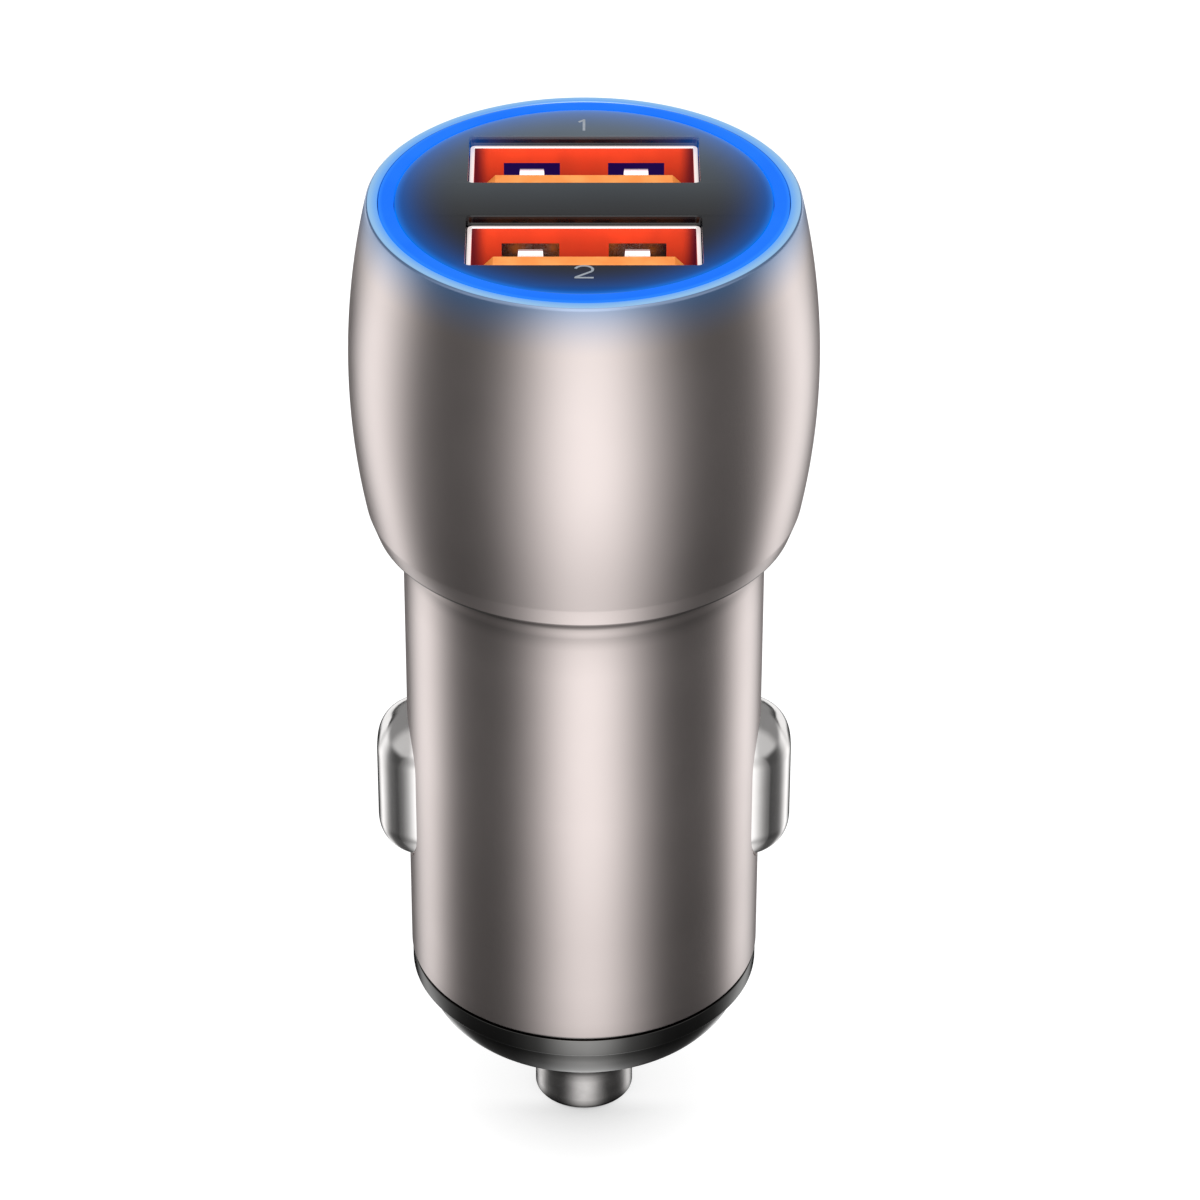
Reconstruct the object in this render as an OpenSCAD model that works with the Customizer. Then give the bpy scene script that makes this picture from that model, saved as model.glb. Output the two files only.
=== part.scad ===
// A two-port USB charger that plugs into a car's 12 V power socket.
// It stands upright along Z. The origin is the middle of the tip's end face.

/* [Head] */
// Height of the head shell
head_h = 20.6; // [18:0.1:26]
// Width of the metal rim around the light ring
rim_w = 0.66; // [0.5:0.01:1]
// How far the head's widest place stands out past its rim
head_bulge = 1.22; // [0.8:0.01:2]
// Depth of the widest place below the top rim
head_belly_depth = 10.6; // [9:0.1:12]
// How far the head's lower edge stands out past the barrel
head_overhang = 1.6; // [1.2:0.01:1.8]
// Height of the bevel at the head's lower edge
head_bevel_h = 1.35; // [0.8:0.05:2]
// Bevel on the outer edge of the top rim
rim_bevel = 0.12; // [0.05:0.01:0.2]
// Least step from the barrel's radius to the head's bore
head_step = 0.9; // [0.5:0.05:2]
// Thickness of the head's floor around the barrel
head_floor_t = 2; // [1.5:0.1:3]

/* [Barrel] */
// Radius of the barrel, which fits the car's socket
barrel_r = 10.5; // [10.4:0.01:10.6]
// Length of the barrel below the head
barrel_len = 30.6; // [29:0.1:34]
// Wall of the barrel shell
barrel_wall = 0.8; // [0.6:0.05:1]
// Bevel on the barrel's lower edge
barrel_bevel = 0.14; // [0.05:0.01:0.3]

/* [Side contacts] */
// How far a side contact stands out of the barrel
crest_reach = 1.84; // [1.5:0.02:2.1]
// Length of each side slot
slot_len = 10.2; // [9.8:0.1:12]
// Width of each side slot
slot_w = 6.6; // [6:0.1:6.8]
// Radius of the slot's corners
slot_corner_r = 3; // [2.2:0.1:3]
// Middle of the slots above the barrel's lower edge
slot_mid = 11.9; // [11.3:0.1:12.5]
// Gap between a side contact and its slot
slot_gap = 0.1; // [0.05:0.01:0.15]
// Thickness of the side contact's sheet
contact_t = 0.5; // [0.4:0.05:0.6]
// Corner radius of a side contact, seen from the front
contact_corner_r = 2.7; // [2.3:0.1:3]
// Half width of the crown where it meets the skirt
crown_half = 2.75; // [2.4:0.05:2.9]
// Height of the crown above the skirt
crown_h = 1.1; // [1:0.02:1.3]
// How far the skirt slopes down to the slot
skirt_drop = 1.27; // [1:0.01:1.4]
// How far the hidden flange reaches past the slot
flange_lip = 0.7; // [0.5:0.05:0.8]
// Travel of a side contact when pressed
side_travel = 1.9; // [1.6:0.05:2]
// Turns of a side contact's spring
side_spring_turns = 6; // [4:1:7]
// Wire of a side contact's spring
side_spring_wire = 0.35; // [0.25:0.05:0.4]
// Middle radius of a side contact's spring
side_spring_r = 1.25; // [1.15:0.05:1.3]
// Thickness of the clip that carries a side contact's spring
clip_t = 0.5; // [0.4:0.05:0.6]
// Width of that clip
clip_w = 5.2; // [4.5:0.1:6]
// Length of that clip
clip_len = 7.8; // [6:0.1:9]

/* [Nose] */
// How far the nose's upper band stands in from the barrel
band_inset = 0.05; // [0:0.01:0.2]
// Height of the nose's upper band
band_h = 1.3; // [1:0.05:2]
// Step between the band and the dome below it
band_step = 0.65; // [0.3:0.05:0.9]
// Radius of the dome's rounding
dome_r = 3.35; // [2.8:0.05:3.6]
// Shadow gap between the nose and the barrel
seam_h = 0.15; // [0.1:0.01:0.3]
// Depth of the shadow gap
seam_depth = 0.3; // [0.2:0.01:0.5]
// Height of the flared collar around the tip
collar_h = 1; // [0.6:0.05:1.2]
// Wall of the collar around the tip
collar_wall = 0.65; // [0.5:0.05:0.9]
// Thickness of the nose's floor
nose_floor_t = 1; // [0.8:0.05:1.4]
// Radius of the nose's inner chamber
chamber_r = 5.2; // [5:0.1:6]

/* [Centre contact] */
// Radius of the tip
tip_r = 3; // [2.6:0.05:3.2]
// How far the tip stands out of the nose's collar
tip_reach = 5.6; // [5:0.1:6.5]
// Bevel on the tip's end
tip_bevel = 0.2; // [0.1:0.05:0.4]
// Running clearance around the tip
tip_gap = 0.08; // [0.03:0.01:0.1]
// Radius of the flange that keeps the tip in
tip_flange_r = 4.7; // [4.5:0.05:4.8]
// Thickness of that flange
tip_flange_t = 1; // [0.8:0.05:1.2]
// Travel of the tip when pressed
tip_travel = 2.5; // [2:0.1:2.8]
// Turns of the tip's spring
tip_spring_turns = 5; // [4:1:6]
// Wire of the tip's spring
tip_spring_wire = 0.5; // [0.4:0.05:0.5]
// Middle radius of the tip's spring
tip_spring_r = 2.7; // [2.6:0.05:3]
// Thickness of the disc and tab that the tip's spring presses on
terminal_t = 0.5; // [0.4:0.05:0.6]
// Width of the terminal's tab
tab_w = 3; // [2:0.1:4]
// Length of that tab along the board
tab_len = 2; // [1:0.1:3]

/* [Face] */
// Width of the blue ring at the top
ring_w = 0.9; // [0.7:0.05:1.1]
// Height of the light ring
ring_h = 4.6; // [4:0.1:5]
// Width of the ledge that carries the face plate
ledge_w = 0.6; // [0.4:0.05:0.65]
// Thickness of the face plate
plate_t = 1.3; // [1:0.05:1.6]
// Least distance from a port's corner to the edge of the face plate
plate_margin = 0.72; // [0.5:0.01:1.5]

/* [USB ports] */
// Distance of each port from the middle
port_off = 4.65; // [4.6:0.01:4.7]
// Width of a port opening in the face plate
port_w = 13; // [12.9:0.05:13.1]
// Height of a port opening in the face plate
port_h = 5.45; // [5.35:0.05:5.5]
// Corner radius of a port opening
port_corner_r = 0.3; // [0.1:0.05:0.5]
// Gap between a port's shell and its opening
port_gap = 0.05; // [0.03:0.01:0.1]
// Depth of the shell's edge below the plate
port_recess = 0.6; // [0.3:0.05:0.9]
// Length of a port's shell
port_len = 14; // [13:0.1:14.5]
// Sheet of a port's shell
port_sheet = 0.25; // [0.2:0.01:0.3]
// Gap between each side of the tongue and the shell
tongue_side_gap = 0.7; // [0.6:0.05:0.9]
// Thickness of the tongue
tongue_t = 1.84; // [1.7:0.02:1.9]
// Gap between the tongue's front and the shell
tongue_front_gap = 0.385; // [0.3:0.005:0.5]
// Depth of the tongue's end below the plate
tongue_recess = 0.95; // [0.7:0.05:1.3]
// Bevel at the tongue's corners
tongue_bevel = 0.5; // [0.2:0.05:0.8]
// Height of the base inside the shell
base_in_h = 2; // [1.5:0.1:3]
// Height of the base below the shell
base_out_h = 1.5; // [1.2:0.1:2]
// Width of a spring window in a shell
window_w = 3.2; // [2.6:0.1:3.4]
// Height of a spring window in a shell
window_h = 5; // [4:0.1:6]
// Depth of the windows below the shell's edge
window_depth = 1; // [0.8:0.05:1.5]
// Distance of each window from the port's middle
window_off = 2.97; // [2.6:0.01:3.1]
// Width of a spring finger
finger_w = 1.6; // [1.2:0.1:2]
// Width of the tabs that solder a shell to the board
shell_tab_w = 1.2; // [0.8:0.1:2]
// Distance of those tabs from the shell's sides
shell_tab_inset = 0.4; // [0.3:0.05:1]
// Distance of the base's feet from its sides
foot_inset = 2; // [1:0.1:3]
// Width of a contact strip
strip_w = 1; // [0.8:0.05:1.2]
// Thickness of a contact strip
strip_t = 0.2; // [0.15:0.01:0.25]
// Distance of the two inner strips from the middle
strip_inner = 1; // [0.9:0.05:1.2]
// Distance of the two outer strips from the middle
strip_outer = 3.5; // [3.3:0.05:3.8]
// How far the strips stop short of the tongue's end
strip_recess = 0.85; // [0.5:0.05:1.5]
// How far the strips reach below the base
strip_tail = 1; // [0.5:0.1:1.2]

/* [Carrier] */
// Wall of the carrier halves
carrier_wall = 0.9; // [0.7:0.05:1]
// Gap around the carrier
carrier_gap = 0.1; // [0.05:0.01:0.15]
// Gap where the two halves meet
split_gap = 0.06; // [0.04:0.01:0.1]
// Thickness of the carrier's floor and flange
carrier_floor_t = 0.95; // [0.8:0.05:1.2]
// Gap around the side windows of the carrier
carrier_window_gap = 0.2; // [0.15:0.01:0.25]
// Height of the side windows above the carrier's floor
window_sill = 0.45; // [0.2:0.05:0.8]

/* [Board] */
// Thickness of the board
board_t = 1.6; // [1.4:0.05:1.8]
// Gap between the board's edge and the barrel, above the side contacts
board_edge_gap = 0.7; // [0.6:0.05:1]
// Room for each side contact between the barrel's wall and the board's neck
side_room = 4.7; // [4.6:0.1:5.2]
// Gap between the board's ears and the outside of the light ring
ear_gap = 0.25; // [0.2:0.05:0.5]
// Height of the board's ears
ear_h = 2; // [1.5:0.1:3]
// Gap that seats one piece on another
seat_gap = 0.05; // [0.03:0.01:0.08]

/* [Parts on the board] */
// Diameter of the input capacitor
input_cap_d = 5; // [4:0.1:6.3]
// Length of the input capacitor
input_cap_len = 9; // [6:0.5:11.5]
// Diameter of the output capacitor
output_cap_d = 5; // [4:0.1:5.5]
// Length of the output capacitor
output_cap_len = 6; // [5:0.5:6]
// Diameter of the inductor
inductor_d = 7.2; // [6:0.1:7.4]
// Height of the inductor above the board
inductor_h = 5; // [4:0.1:5.2]
// Free length of board between two neighbouring parts
part_gap = 0.4; // [0.2:0.05:0.6]
// Diameter of the lead wires
lead_d = 0.6; // [0.5:0.05:0.7]
// Distance between the two leads of a capacitor
lead_pitch = 2.5; // [2:0.1:2.6]
// Thickness of the inductor's two flanges
drum_flange_t = 0.8; // [0.6:0.05:1]
// Radius of the inductor's post
drum_post_r = 1.8; // [1.5:0.05:2.2]
// Width of the converter chip
chip_w = 3.9; // [3.6:0.1:4]
// Length of the converter chip
chip_len = 4.9; // [4.8:0.1:5.2]
// Thickness of the converter chip
chip_t = 1.45; // [1.2:0.05:1.7]
// Distance between the converter chip's leads
chip_lead_pitch = 1.27; // [1:0.01:1.3]
// Width of the converter chip's leads
chip_lead_w = 0.4; // [0.3:0.05:0.5]
// Height of a lamp
lamp_len = 1.2; // [1:0.1:1.6]
// Width of a lamp
lamp_w = 0.8; // [0.6:0.1:1]
// Thickness of a lamp
lamp_t = 0.6; // [0.4:0.05:0.7]

/* [Hidden] */

// Facets of round things; the radii themselves are exact
$fn = 96;
// A cut reaches this far past what it cuts
cut = 1;

// Heights from the tip's end upwards
collar_z = tip_reach;
dome_z = collar_z + collar_h;
band_z = dome_z + dome_r;
seam_z = band_z + band_h;
barrel_z = seam_z + seam_h;
head_z = barrel_z + barrel_len;
top_z = head_z + head_h;
head_floor_z = head_z + head_floor_t;
slot_z = barrel_z + slot_mid;

// The head is wide enough for the ports' corners and for the barrel.
// Its outside is one arc about a point left of the axis.
port_reach = norm([port_w / 2, port_off + port_h / 2]);
head_bore_r = max(port_reach + plate_margin + seat_gap + ring_w, barrel_r + head_step);
head_top_r = head_bore_r + rim_w;
head_belly_r = head_top_r + head_bulge;
head_edge_r = barrel_r + head_overhang;
head_belly_z = top_z - head_belly_depth;
head_arc_r = (pow(head_belly_depth, 2) + pow(head_belly_r - head_top_r, 2))
    / (2 * (head_belly_r - head_top_r));
head_foot_r = head_belly_r - head_arc_r
    + sqrt(pow(head_arc_r, 2) - pow(head_belly_z - head_z - head_bevel_h, 2));

// The barrel and what runs inside it
barrel_bore_r = barrel_r - barrel_wall;
band_r = barrel_r - band_inset;
spigot_r = barrel_bore_r - seat_gap;
nose_floor_z = dome_z + nose_floor_t;
tip_bore_r = tip_r + tip_gap;
collar_r = tip_bore_r + collar_wall;

// The side contacts' slots, flanges and windows
flange_r = barrel_bore_r - seat_gap;
flange_half_w = slot_w / 2 + flange_lip;
flange_half_len = slot_len / 2 + flange_lip;
side_window_half_w = flange_half_w + carrier_window_gap;
side_window_half_len = flange_half_len + carrier_window_gap;

// The carrier: a narrow tube in the barrel and a wide one in the head.
// The side windows set its floor, and its floor sets the nose's spigot.
carrier_floor_z = slot_z - side_window_half_len - window_sill;
carrier_z = carrier_floor_z - carrier_floor_t;
spigot_z = carrier_z - carrier_gap;
carrier_r = barrel_bore_r - carrier_gap;
carrier_bore_r = carrier_r - carrier_wall;
carrier_flange_z = head_floor_z + seat_gap;
carrier_head_r = head_bore_r - carrier_gap;
carrier_head_bore_r = carrier_head_r - carrier_wall;
ring_z = top_z - ring_h;
plate_z = top_z - plate_t;

// The light ring: its outside, its visible inside and its ledge
ring_r = head_bore_r - seat_gap;
ring_in_r = head_bore_r - ring_w;
ledge_r = ring_in_r - ledge_w;
plate_r = ring_in_r - seat_gap;

// The side contacts, worked out from the slot
contact_half_w = slot_w / 2 - slot_gap;
contact_half_len = slot_len / 2 - slot_gap;
crest_x = barrel_r + crest_reach;
crease_x = crest_x - crown_h;
skirt_x = crease_x - skirt_drop;
crown_r = (pow(crown_half, 2) + pow(crown_h, 2)) / (2 * crown_h);

// The board
board_face = board_t / 2;
board_half = barrel_bore_r - board_edge_gap;
board_neck_half = barrel_bore_r - side_room;
ear_half = ring_r - ear_gap;
board_z = carrier_floor_z + seat_gap;
board_shoulder_z = slot_z + side_window_half_len + carrier_window_gap;
board_top_z = ring_z - 0.5;
rebate = board_face + seat_gap;

// Where something of radius r along X meets the inside of a side contact's crown
function crown_inside_x(r) = crest_x - crown_r + sqrt(pow(crown_r - contact_t, 2) - pow(r, 2));

// The clips on the board's neck that the side springs push against.
// Each has a post inside its spring, which stops the side contact at the end of its travel.
clip_x = board_neck_half + clip_t;
post_r = side_spring_r - side_spring_wire / 2 - 0.2;
post_x = crown_inside_x(post_r) - side_travel - seat_gap;
side_spring_end_x = crown_inside_x(side_spring_r + side_spring_wire / 2) - seat_gap;

// The positive terminal. The tip's pin meets it at the end of the tip's travel.
terminal_r = chamber_r - 0.6;
terminal_z = carrier_z - seat_gap - terminal_t;
flange_bottom_z = nose_floor_z + seat_gap;
flange_top_z = flange_bottom_z + tip_flange_t;
pin_top_z = terminal_z - tip_travel - seat_gap;
pin_r = tip_spring_r - tip_spring_wire / 2 - 0.25;
tab_top_z = board_z + tab_len;

// The ports
shell_w = port_w - 2 * port_gap;
shell_h = port_h - 2 * port_gap;
shell_top_z = top_z - port_recess;
shell_z = shell_top_z - port_len;
base_z = shell_z - base_out_h;
tongue_top_z = top_z - tongue_recess;
tongue_w = shell_w - 2 * port_sheet - 2 * tongue_side_gap;
tongue_off = shell_h / 2 - port_sheet - tongue_front_gap - tongue_t / 2;
strip_z = base_z - strip_tail;
strip_top_z = tongue_top_z - strip_recess;
strip_y = tongue_t / 2 - tongue_off;
strip_clear = 0.02;

// Standard packages: width, height and thickness
controller_size = [2.9, 1.6, 1.1];
fuse_size = [3.2, 1.6, 0.6];
diode_size = [4.3, 2.6, 2.2];
filter_size = [1.25, 2, 1.2];
// How far the leads of a lying can drop below it
lead_drop = 0.6;

// On the board's neck, between the side contacts: the converter chip and the diode
// on its front, the fuse and the output capacitor on its rear
chip_z = slot_z - part_gap;
chip_lift = 0.1;
chip_lead_out = 0.5;
chip_lead_h = 0.6;
diode_z = chip_z + chip_len / 2 + part_gap + diode_size[1] / 2;
fuse_z = board_z + part_gap + fuse_size[1] / 2;
output_cap_z = slot_z - output_cap_len / 2;

// Above its shoulders: the input capacitor on its front, the inductor and a row of
// small parts on its rear
input_cap_z = board_shoulder_z + part_gap + lead_drop;
inductor_z = board_shoulder_z + part_gap + inductor_d / 2;
row_z = inductor_z + inductor_d / 2 + part_gap + filter_size[1] / 2;
controller_x = (controller_size[0] + part_gap) / 2;
filter_x = controller_x + (controller_size[0] + filter_size[0]) / 2 + part_gap;

// The lamps stand under the middle of the light ring
lamp_x = (ring_in_r + ring_r) / 2 - 0.3;

// Helpers

// A rectangle about the origin with round corners
module round_rect(w, h, r) {
    square([w - 2 * r, h], center = true);
    square([w, h - 2 * r], center = true);
    for (x = [-1, 1], y = [-1, 1])
        translate([x * (w / 2 - r), y * (h / 2 - r)]) circle(r = r);
}

// A box given by its middle in X and by its lowest and highest Y and Z
module bar(half_x, y0, y1, z0, z1) {
    translate([-half_x, min(y0, y1), z0]) cube([2 * half_x, abs(y1 - y0), z1 - z0]);
}

// A rounded slab in the YZ plane, from x0 to x1, about height z
module side_slab(w, len, r, x0, x1, z) {
    translate([x0, 0, z]) rotate([90, 0, 90]) linear_extrude(x1 - x0) round_rect(w, len, r);
}

// A round wire wound along Z from z0 to z1, as a chain of rings joined side by side
module coil(r, wire, turns, z0, z1, steps = 14, sides = 6) {
    low = z0 + wire / 2;
    rise = z1 - z0 - wire;
    n = turns * steps;
    points = [for (i = [0:n], k = [0:sides - 1])
        let (a = 360 * i / steps, b = 360 * k / sides, q = r + wire / 2 * cos(b))
        [q * cos(a), q * sin(a), low + rise * i / n + wire / 2 * sin(b)]];
    walls = [for (i = [0:n - 1], k = [0:sides - 1])
        [i * sides + k, (i + 1) * sides + k,
         (i + 1) * sides + (k + 1) % sides, i * sides + (k + 1) % sides]];
    ends = [[for (k = [0:sides - 1]) k], [for (k = [sides - 1:-1:0]) n * sides + k]];
    polyhedron(points, concat(walls, ends), convexity = 10);
}

// The same piece on the left, made by turning the right one half a turn
module on_left() {
    rotate([0, 0, 180]) children();
}

// Outer metal

// Half section of the head's outside: an arc cut by a bevel below and a fine one at the rim
module head_outline() {
    beyond = head_belly_r + cut;
    lean = head_bevel_h / (head_foot_r - head_edge_r);
    rim_edge = head_top_r - rim_bevel;
    intersection() {
        translate([head_belly_r - head_arc_r, head_belly_z]) circle(r = head_arc_r, $fn = 360);
        polygon([
            [0, head_z], [head_edge_r, head_z],
            [beyond, head_z + (beyond - head_edge_r) * lean],
            [beyond, top_z - (beyond - rim_edge)], [rim_edge, top_z], [0, top_z]
        ]);
    }
}

module head_shell() color([0.79, 0.74, 0.73]) {
    difference() {
        rotate_extrude() head_outline();
        translate([0, 0, head_floor_z]) cylinder(r = head_bore_r, h = head_h);
        translate([0, 0, head_z - cut]) cylinder(r = barrel_r + seat_gap / 2, h = head_floor_t + 2 * cut);
    }
}

module barrel_shell() color([0.76, 0.71, 0.7]) {
    slot_reach = barrel_r + cut;
    len = head_floor_z - barrel_z;
    difference() {
        translate([0, 0, barrel_z]) union() {
            cylinder(r1 = barrel_r - barrel_bevel, r2 = barrel_r, h = barrel_bevel);
            translate([0, 0, barrel_bevel]) cylinder(r = barrel_r, h = len - barrel_bevel);
        }
        translate([0, 0, barrel_z - cut]) cylinder(r = barrel_bore_r, h = len + 2 * cut);
        side_slab(slot_w, slot_len, slot_corner_r, 0, slot_reach, slot_z);
        side_slab(slot_w, slot_len, slot_corner_r, -slot_reach, 0, slot_z);
    }
}

// Face

module face_plate() color([0.14, 0.16, 0.2]) {
    translate([0, 0, plate_z]) linear_extrude(plate_t) difference() {
        circle(r = plate_r);
        for (side = [-1, 1]) translate([0, side * port_off]) round_rect(port_w, port_h, port_corner_r);
    }
}

module light_ring() color([0.1, 0.45, 1]) {
    translate([0, 0, ring_z]) difference() {
        cylinder(r = ring_r, h = ring_h);
        translate([0, 0, -cut]) cylinder(r = ledge_r, h = ring_h + 2 * cut);
        translate([0, 0, ring_h - plate_t]) cylinder(r = ring_in_r, h = ring_h);
    }
}

// Carrier halves and board

// Space that the board, its ears and the lamps need inside the carrier
module board_space() {
    beside = 2 * seat_gap;
    beyond = head_bore_r + cut;
    bar(board_half + beside, -rebate, rebate, carrier_floor_z, ring_z + cut);
    bar(beyond, -rebate, rebate, board_top_z - ear_h - beside, ring_z + cut);
    bar(beyond, -rebate - lamp_t, rebate + lamp_t, board_top_z - lamp_len - beside, ring_z + cut);
}

module carrier_body() {
    difference() {
        union() {
            translate([0, 0, carrier_z])
                cylinder(r = carrier_r, h = carrier_flange_z - carrier_z + carrier_floor_t);
            translate([0, 0, carrier_flange_z]) cylinder(r = carrier_head_r, h = ring_z - carrier_flange_z);
        }
        translate([0, 0, carrier_floor_z]) cylinder(r = carrier_bore_r, h = top_z);
        translate([0, 0, carrier_flange_z + carrier_floor_t]) cylinder(r = carrier_head_bore_r, h = top_z);
        bar(carrier_r + cut, -side_window_half_w, side_window_half_w,
            slot_z - side_window_half_len, slot_z + side_window_half_len);
        board_space();
        bar(tab_w / 2 + 2 * seat_gap, -rebate - terminal_t - seat_gap, 0,
            carrier_z - cut, carrier_floor_z + cut);
    }
}

// One half of the carrier: side -1 is towards the front, 1 towards the rear
module carrier_half(side) {
    reach = 2 * head_bore_r;
    intersection() {
        carrier_body();
        bar(reach, side * split_gap / 2, side * reach, 0, top_z);
    }
}

module carrier_front() color([0.2, 0.2, 0.22]) carrier_half(-1);

module carrier_rear() color([0.24, 0.24, 0.26]) carrier_half(1);

module main_board() color([0.05, 0.3, 0.16]) {
    bar(board_neck_half, -board_face, board_face, board_z, board_shoulder_z);
    bar(board_half, -board_face, board_face, board_shoulder_z, board_top_z);
    bar(ear_half, -board_face, board_face, board_top_z - ear_h, board_top_z);
}

// Four lamps on the board's ears, under the light ring
module led_chips() color([0.95, 0.95, 0.8]) {
    for (x = [-1, 1], y = [-1, 1])
        translate([x * lamp_x, y * (board_face + lamp_t / 2), board_top_z - lamp_len / 2])
            cube([lamp_w, lamp_t, lamp_len], center = true);
}

// USB ports; side is -1 for the front port and 1 for the rear port

module usb_shell(side) {
    board_wall_y = side * (port_off - shell_h / 2);
    translate([0, side * port_off, shell_z]) difference() {
        linear_extrude(port_len) difference() {
            round_rect(shell_w, shell_h, port_corner_r);
            square([shell_w - 2 * port_sheet, shell_h - 2 * port_sheet], center = true);
        }
        for (x = [-window_off, window_off])
            translate([x - window_w / 2, shell_h / 2 - port_sheet - cut, port_len - window_depth - window_h])
                cube([window_w, port_sheet + 2 * cut, window_h]);
    }
    // Spring fingers stand in the windows, joined at the bottom
    for (x = [-window_off, window_off])
        translate([x, side * port_off + shell_h / 2 - port_sheet, shell_top_z - window_depth - window_h])
            spring_finger();
    // Tabs that are soldered to the board
    for (x = [-1, 1])
        translate([x * (shell_w / 2 - shell_tab_inset - shell_tab_w / 2), 0, 0])
            bar(shell_tab_w / 2, board_wall_y + side * port_sheet / 2, side * board_face,
                shell_z, shell_z + port_sheet);
}

// A strip that leans into the port and bends back at its end
module spring_finger() {
    lean = 0.4;
    bend_z = window_h * 0.7;
    end_z = window_h * 0.9;
    rotate([90, 0, 90]) translate([0, 0, -finger_w / 2]) linear_extrude(finger_w) polygon([
        [0, -0.1], [-lean, bend_z], [0, end_z],
        [port_sheet, end_z], [port_sheet - lean, bend_z], [port_sheet, -0.1]
    ]);
}

module usb_shell_front() color([0.8, 0.8, 0.8]) usb_shell(-1);

module usb_shell_rear() color([0.8, 0.8, 0.8]) usb_shell(1);

// Places of the four strips across a port
strip_places = [-strip_outer, -strip_inner, strip_inner, strip_outer];

module usb_insulator(side) {
    inner_w = shell_w - 2 * port_sheet - 2 * seat_gap;
    inner_h = shell_h - 2 * port_sheet - 2 * seat_gap;
    near_y = side * (port_off - inner_h / 2);
    groove_half = strip_w / 2 + strip_clear;
    difference() {
        union() {
            translate([-inner_w / 2, side * port_off - inner_h / 2, base_z])
                cube([inner_w, inner_h, base_out_h + base_in_h]);
            bar(inner_w / 2 - foot_inset, near_y + side * seat_gap, side * board_face, base_z, shell_z);
            translate([0, side * port_off - tongue_off, 0]) tongue();
        }
        for (x = strip_places) translate([x, side * port_off + strip_y, 0])
            bar(groove_half, -strip_clear, strip_t + strip_clear, base_z - cut, strip_top_z + seat_gap);
    }
}

// The tongue: a plate with bevelled corners and a bevelled back edge
module tongue() {
    root_z = base_z + base_out_h + base_in_h - 0.5;
    half = tongue_w / 2;
    intersection() {
        rotate([90, 0, 0]) linear_extrude(2 * tongue_t, center = true) polygon([
            [-half, root_z], [half, root_z], [half, tongue_top_z - tongue_bevel],
            [half - tongue_bevel, tongue_top_z], [tongue_bevel - half, tongue_top_z],
            [-half, tongue_top_z - tongue_bevel]
        ]);
        bar(half + cut, -tongue_t / 2, tongue_t / 2, root_z - cut, tongue_top_z + cut);
    }
}

module usb_insulator_front() color([1, 0.45, 0.12]) usb_insulator(-1);

module usb_insulator_rear() color([1, 0.45, 0.12]) usb_insulator(1);

// Each strip lies on the tongue, runs down through the base and turns to the board
module usb_contacts(side) {
    near_y = side * port_off + strip_y;
    foot_y = side < 0 ? near_y : near_y + strip_t;
    for (x = strip_places) translate([x, 0, 0]) {
        bar(strip_w / 2, near_y, near_y + strip_t, strip_z, strip_top_z);
        bar(strip_w / 2, foot_y, side * board_face, strip_z, strip_z + strip_t);
    }
}

module usb_contacts_front() color([0.9, 0.72, 0.3]) usb_contacts(-1);

module usb_contacts_rear() color([0.9, 0.72, 0.3]) usb_contacts(1);

// Parts on the board

// Turns a piece so that it stands on the board's rear face at height z
module on_rear_face(z) {
    translate([0, board_face + seat_gap, z]) rotate([-90, 0, 0]) children();
}

// A drum with a flange at each end, which holds the winding
module inductor_core() color([0.25, 0.25, 0.27]) on_rear_face(inductor_z) {
    cylinder(d = inductor_d, h = drum_flange_t);
    cylinder(r = drum_post_r, h = inductor_h);
    translate([0, 0, inductor_h - drum_flange_t]) cylinder(d = inductor_d, h = drum_flange_t);
}

module inductor_winding() color([0.75, 0.4, 0.2]) on_rear_face(inductor_z) {
    translate([0, 0, drum_flange_t + seat_gap]) difference() {
        cylinder(d = inductor_d - 0.8, h = inductor_h - 2 * drum_flange_t - 2 * seat_gap);
        translate([0, 0, -cut]) cylinder(r = drum_post_r + seat_gap, h = inductor_h + 2 * cut);
    }
}

// A can lying along the board, with two leads that turn to it. side is -1 for the front face
module lying_can(d, len, z, side) {
    gap = 0.2;
    y = side * (board_face + gap + d / 2);
    rim_h = 1;
    groove = 0.3;
    translate([0, y, z]) {
        cylinder(d = d, h = rim_h);
        cylinder(r = d / 2 - groove, h = rim_h + 2 * groove);
        translate([0, 0, rim_h + groove]) cylinder(d = d, h = len - rim_h - groove);
    }
    for (x = [-lead_pitch / 2, lead_pitch / 2]) translate([x, 0, 0]) {
        translate([0, y, z - lead_drop]) cylinder(d = lead_d, h = lead_drop + groove);
        bar(lead_d / 2, y + side * lead_d / 2, side * board_face, z - lead_drop, z - lead_drop + lead_d / 2);
    }
}

module input_capacitor() color([0.12, 0.14, 0.3]) lying_can(input_cap_d, input_cap_len, input_cap_z, -1);

module output_capacitor() color([0.7, 0.7, 0.72]) lying_can(output_cap_d, output_cap_len, output_cap_z, 1);

module converter_chip() color([0.1, 0.1, 0.1]) {
    back_y = -board_face - chip_lift;
    bar(chip_w / 2, back_y, back_y - chip_t, chip_z - chip_len / 2, chip_z + chip_len / 2);
}

// Four leads on each side, each touching the chip and the board
module converter_leads() color([0.75, 0.75, 0.75]) {
    for (side = [-1, 1], i = [-1.5:1.5])
        translate([side * (chip_w + chip_lead_out) / 2, 0, chip_z + i * chip_lead_pitch - chip_lead_w / 2])
            bar(chip_lead_out / 2, -board_face, -board_face - chip_lead_h, 0, chip_lead_w);
}

// A small block soldered to a face of the board. side is -1 for the front face
module soldered_block(size, x, z, side) {
    face_y = side * board_face;
    translate([x, 0, z]) bar(size[0] / 2, face_y, face_y + side * size[2], -size[1] / 2, size[1] / 2);
}

module charge_controllers() color([0.1, 0.1, 0.1])
    for (side = [-1, 1]) soldered_block(controller_size, side * controller_x, row_z, 1);

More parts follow.
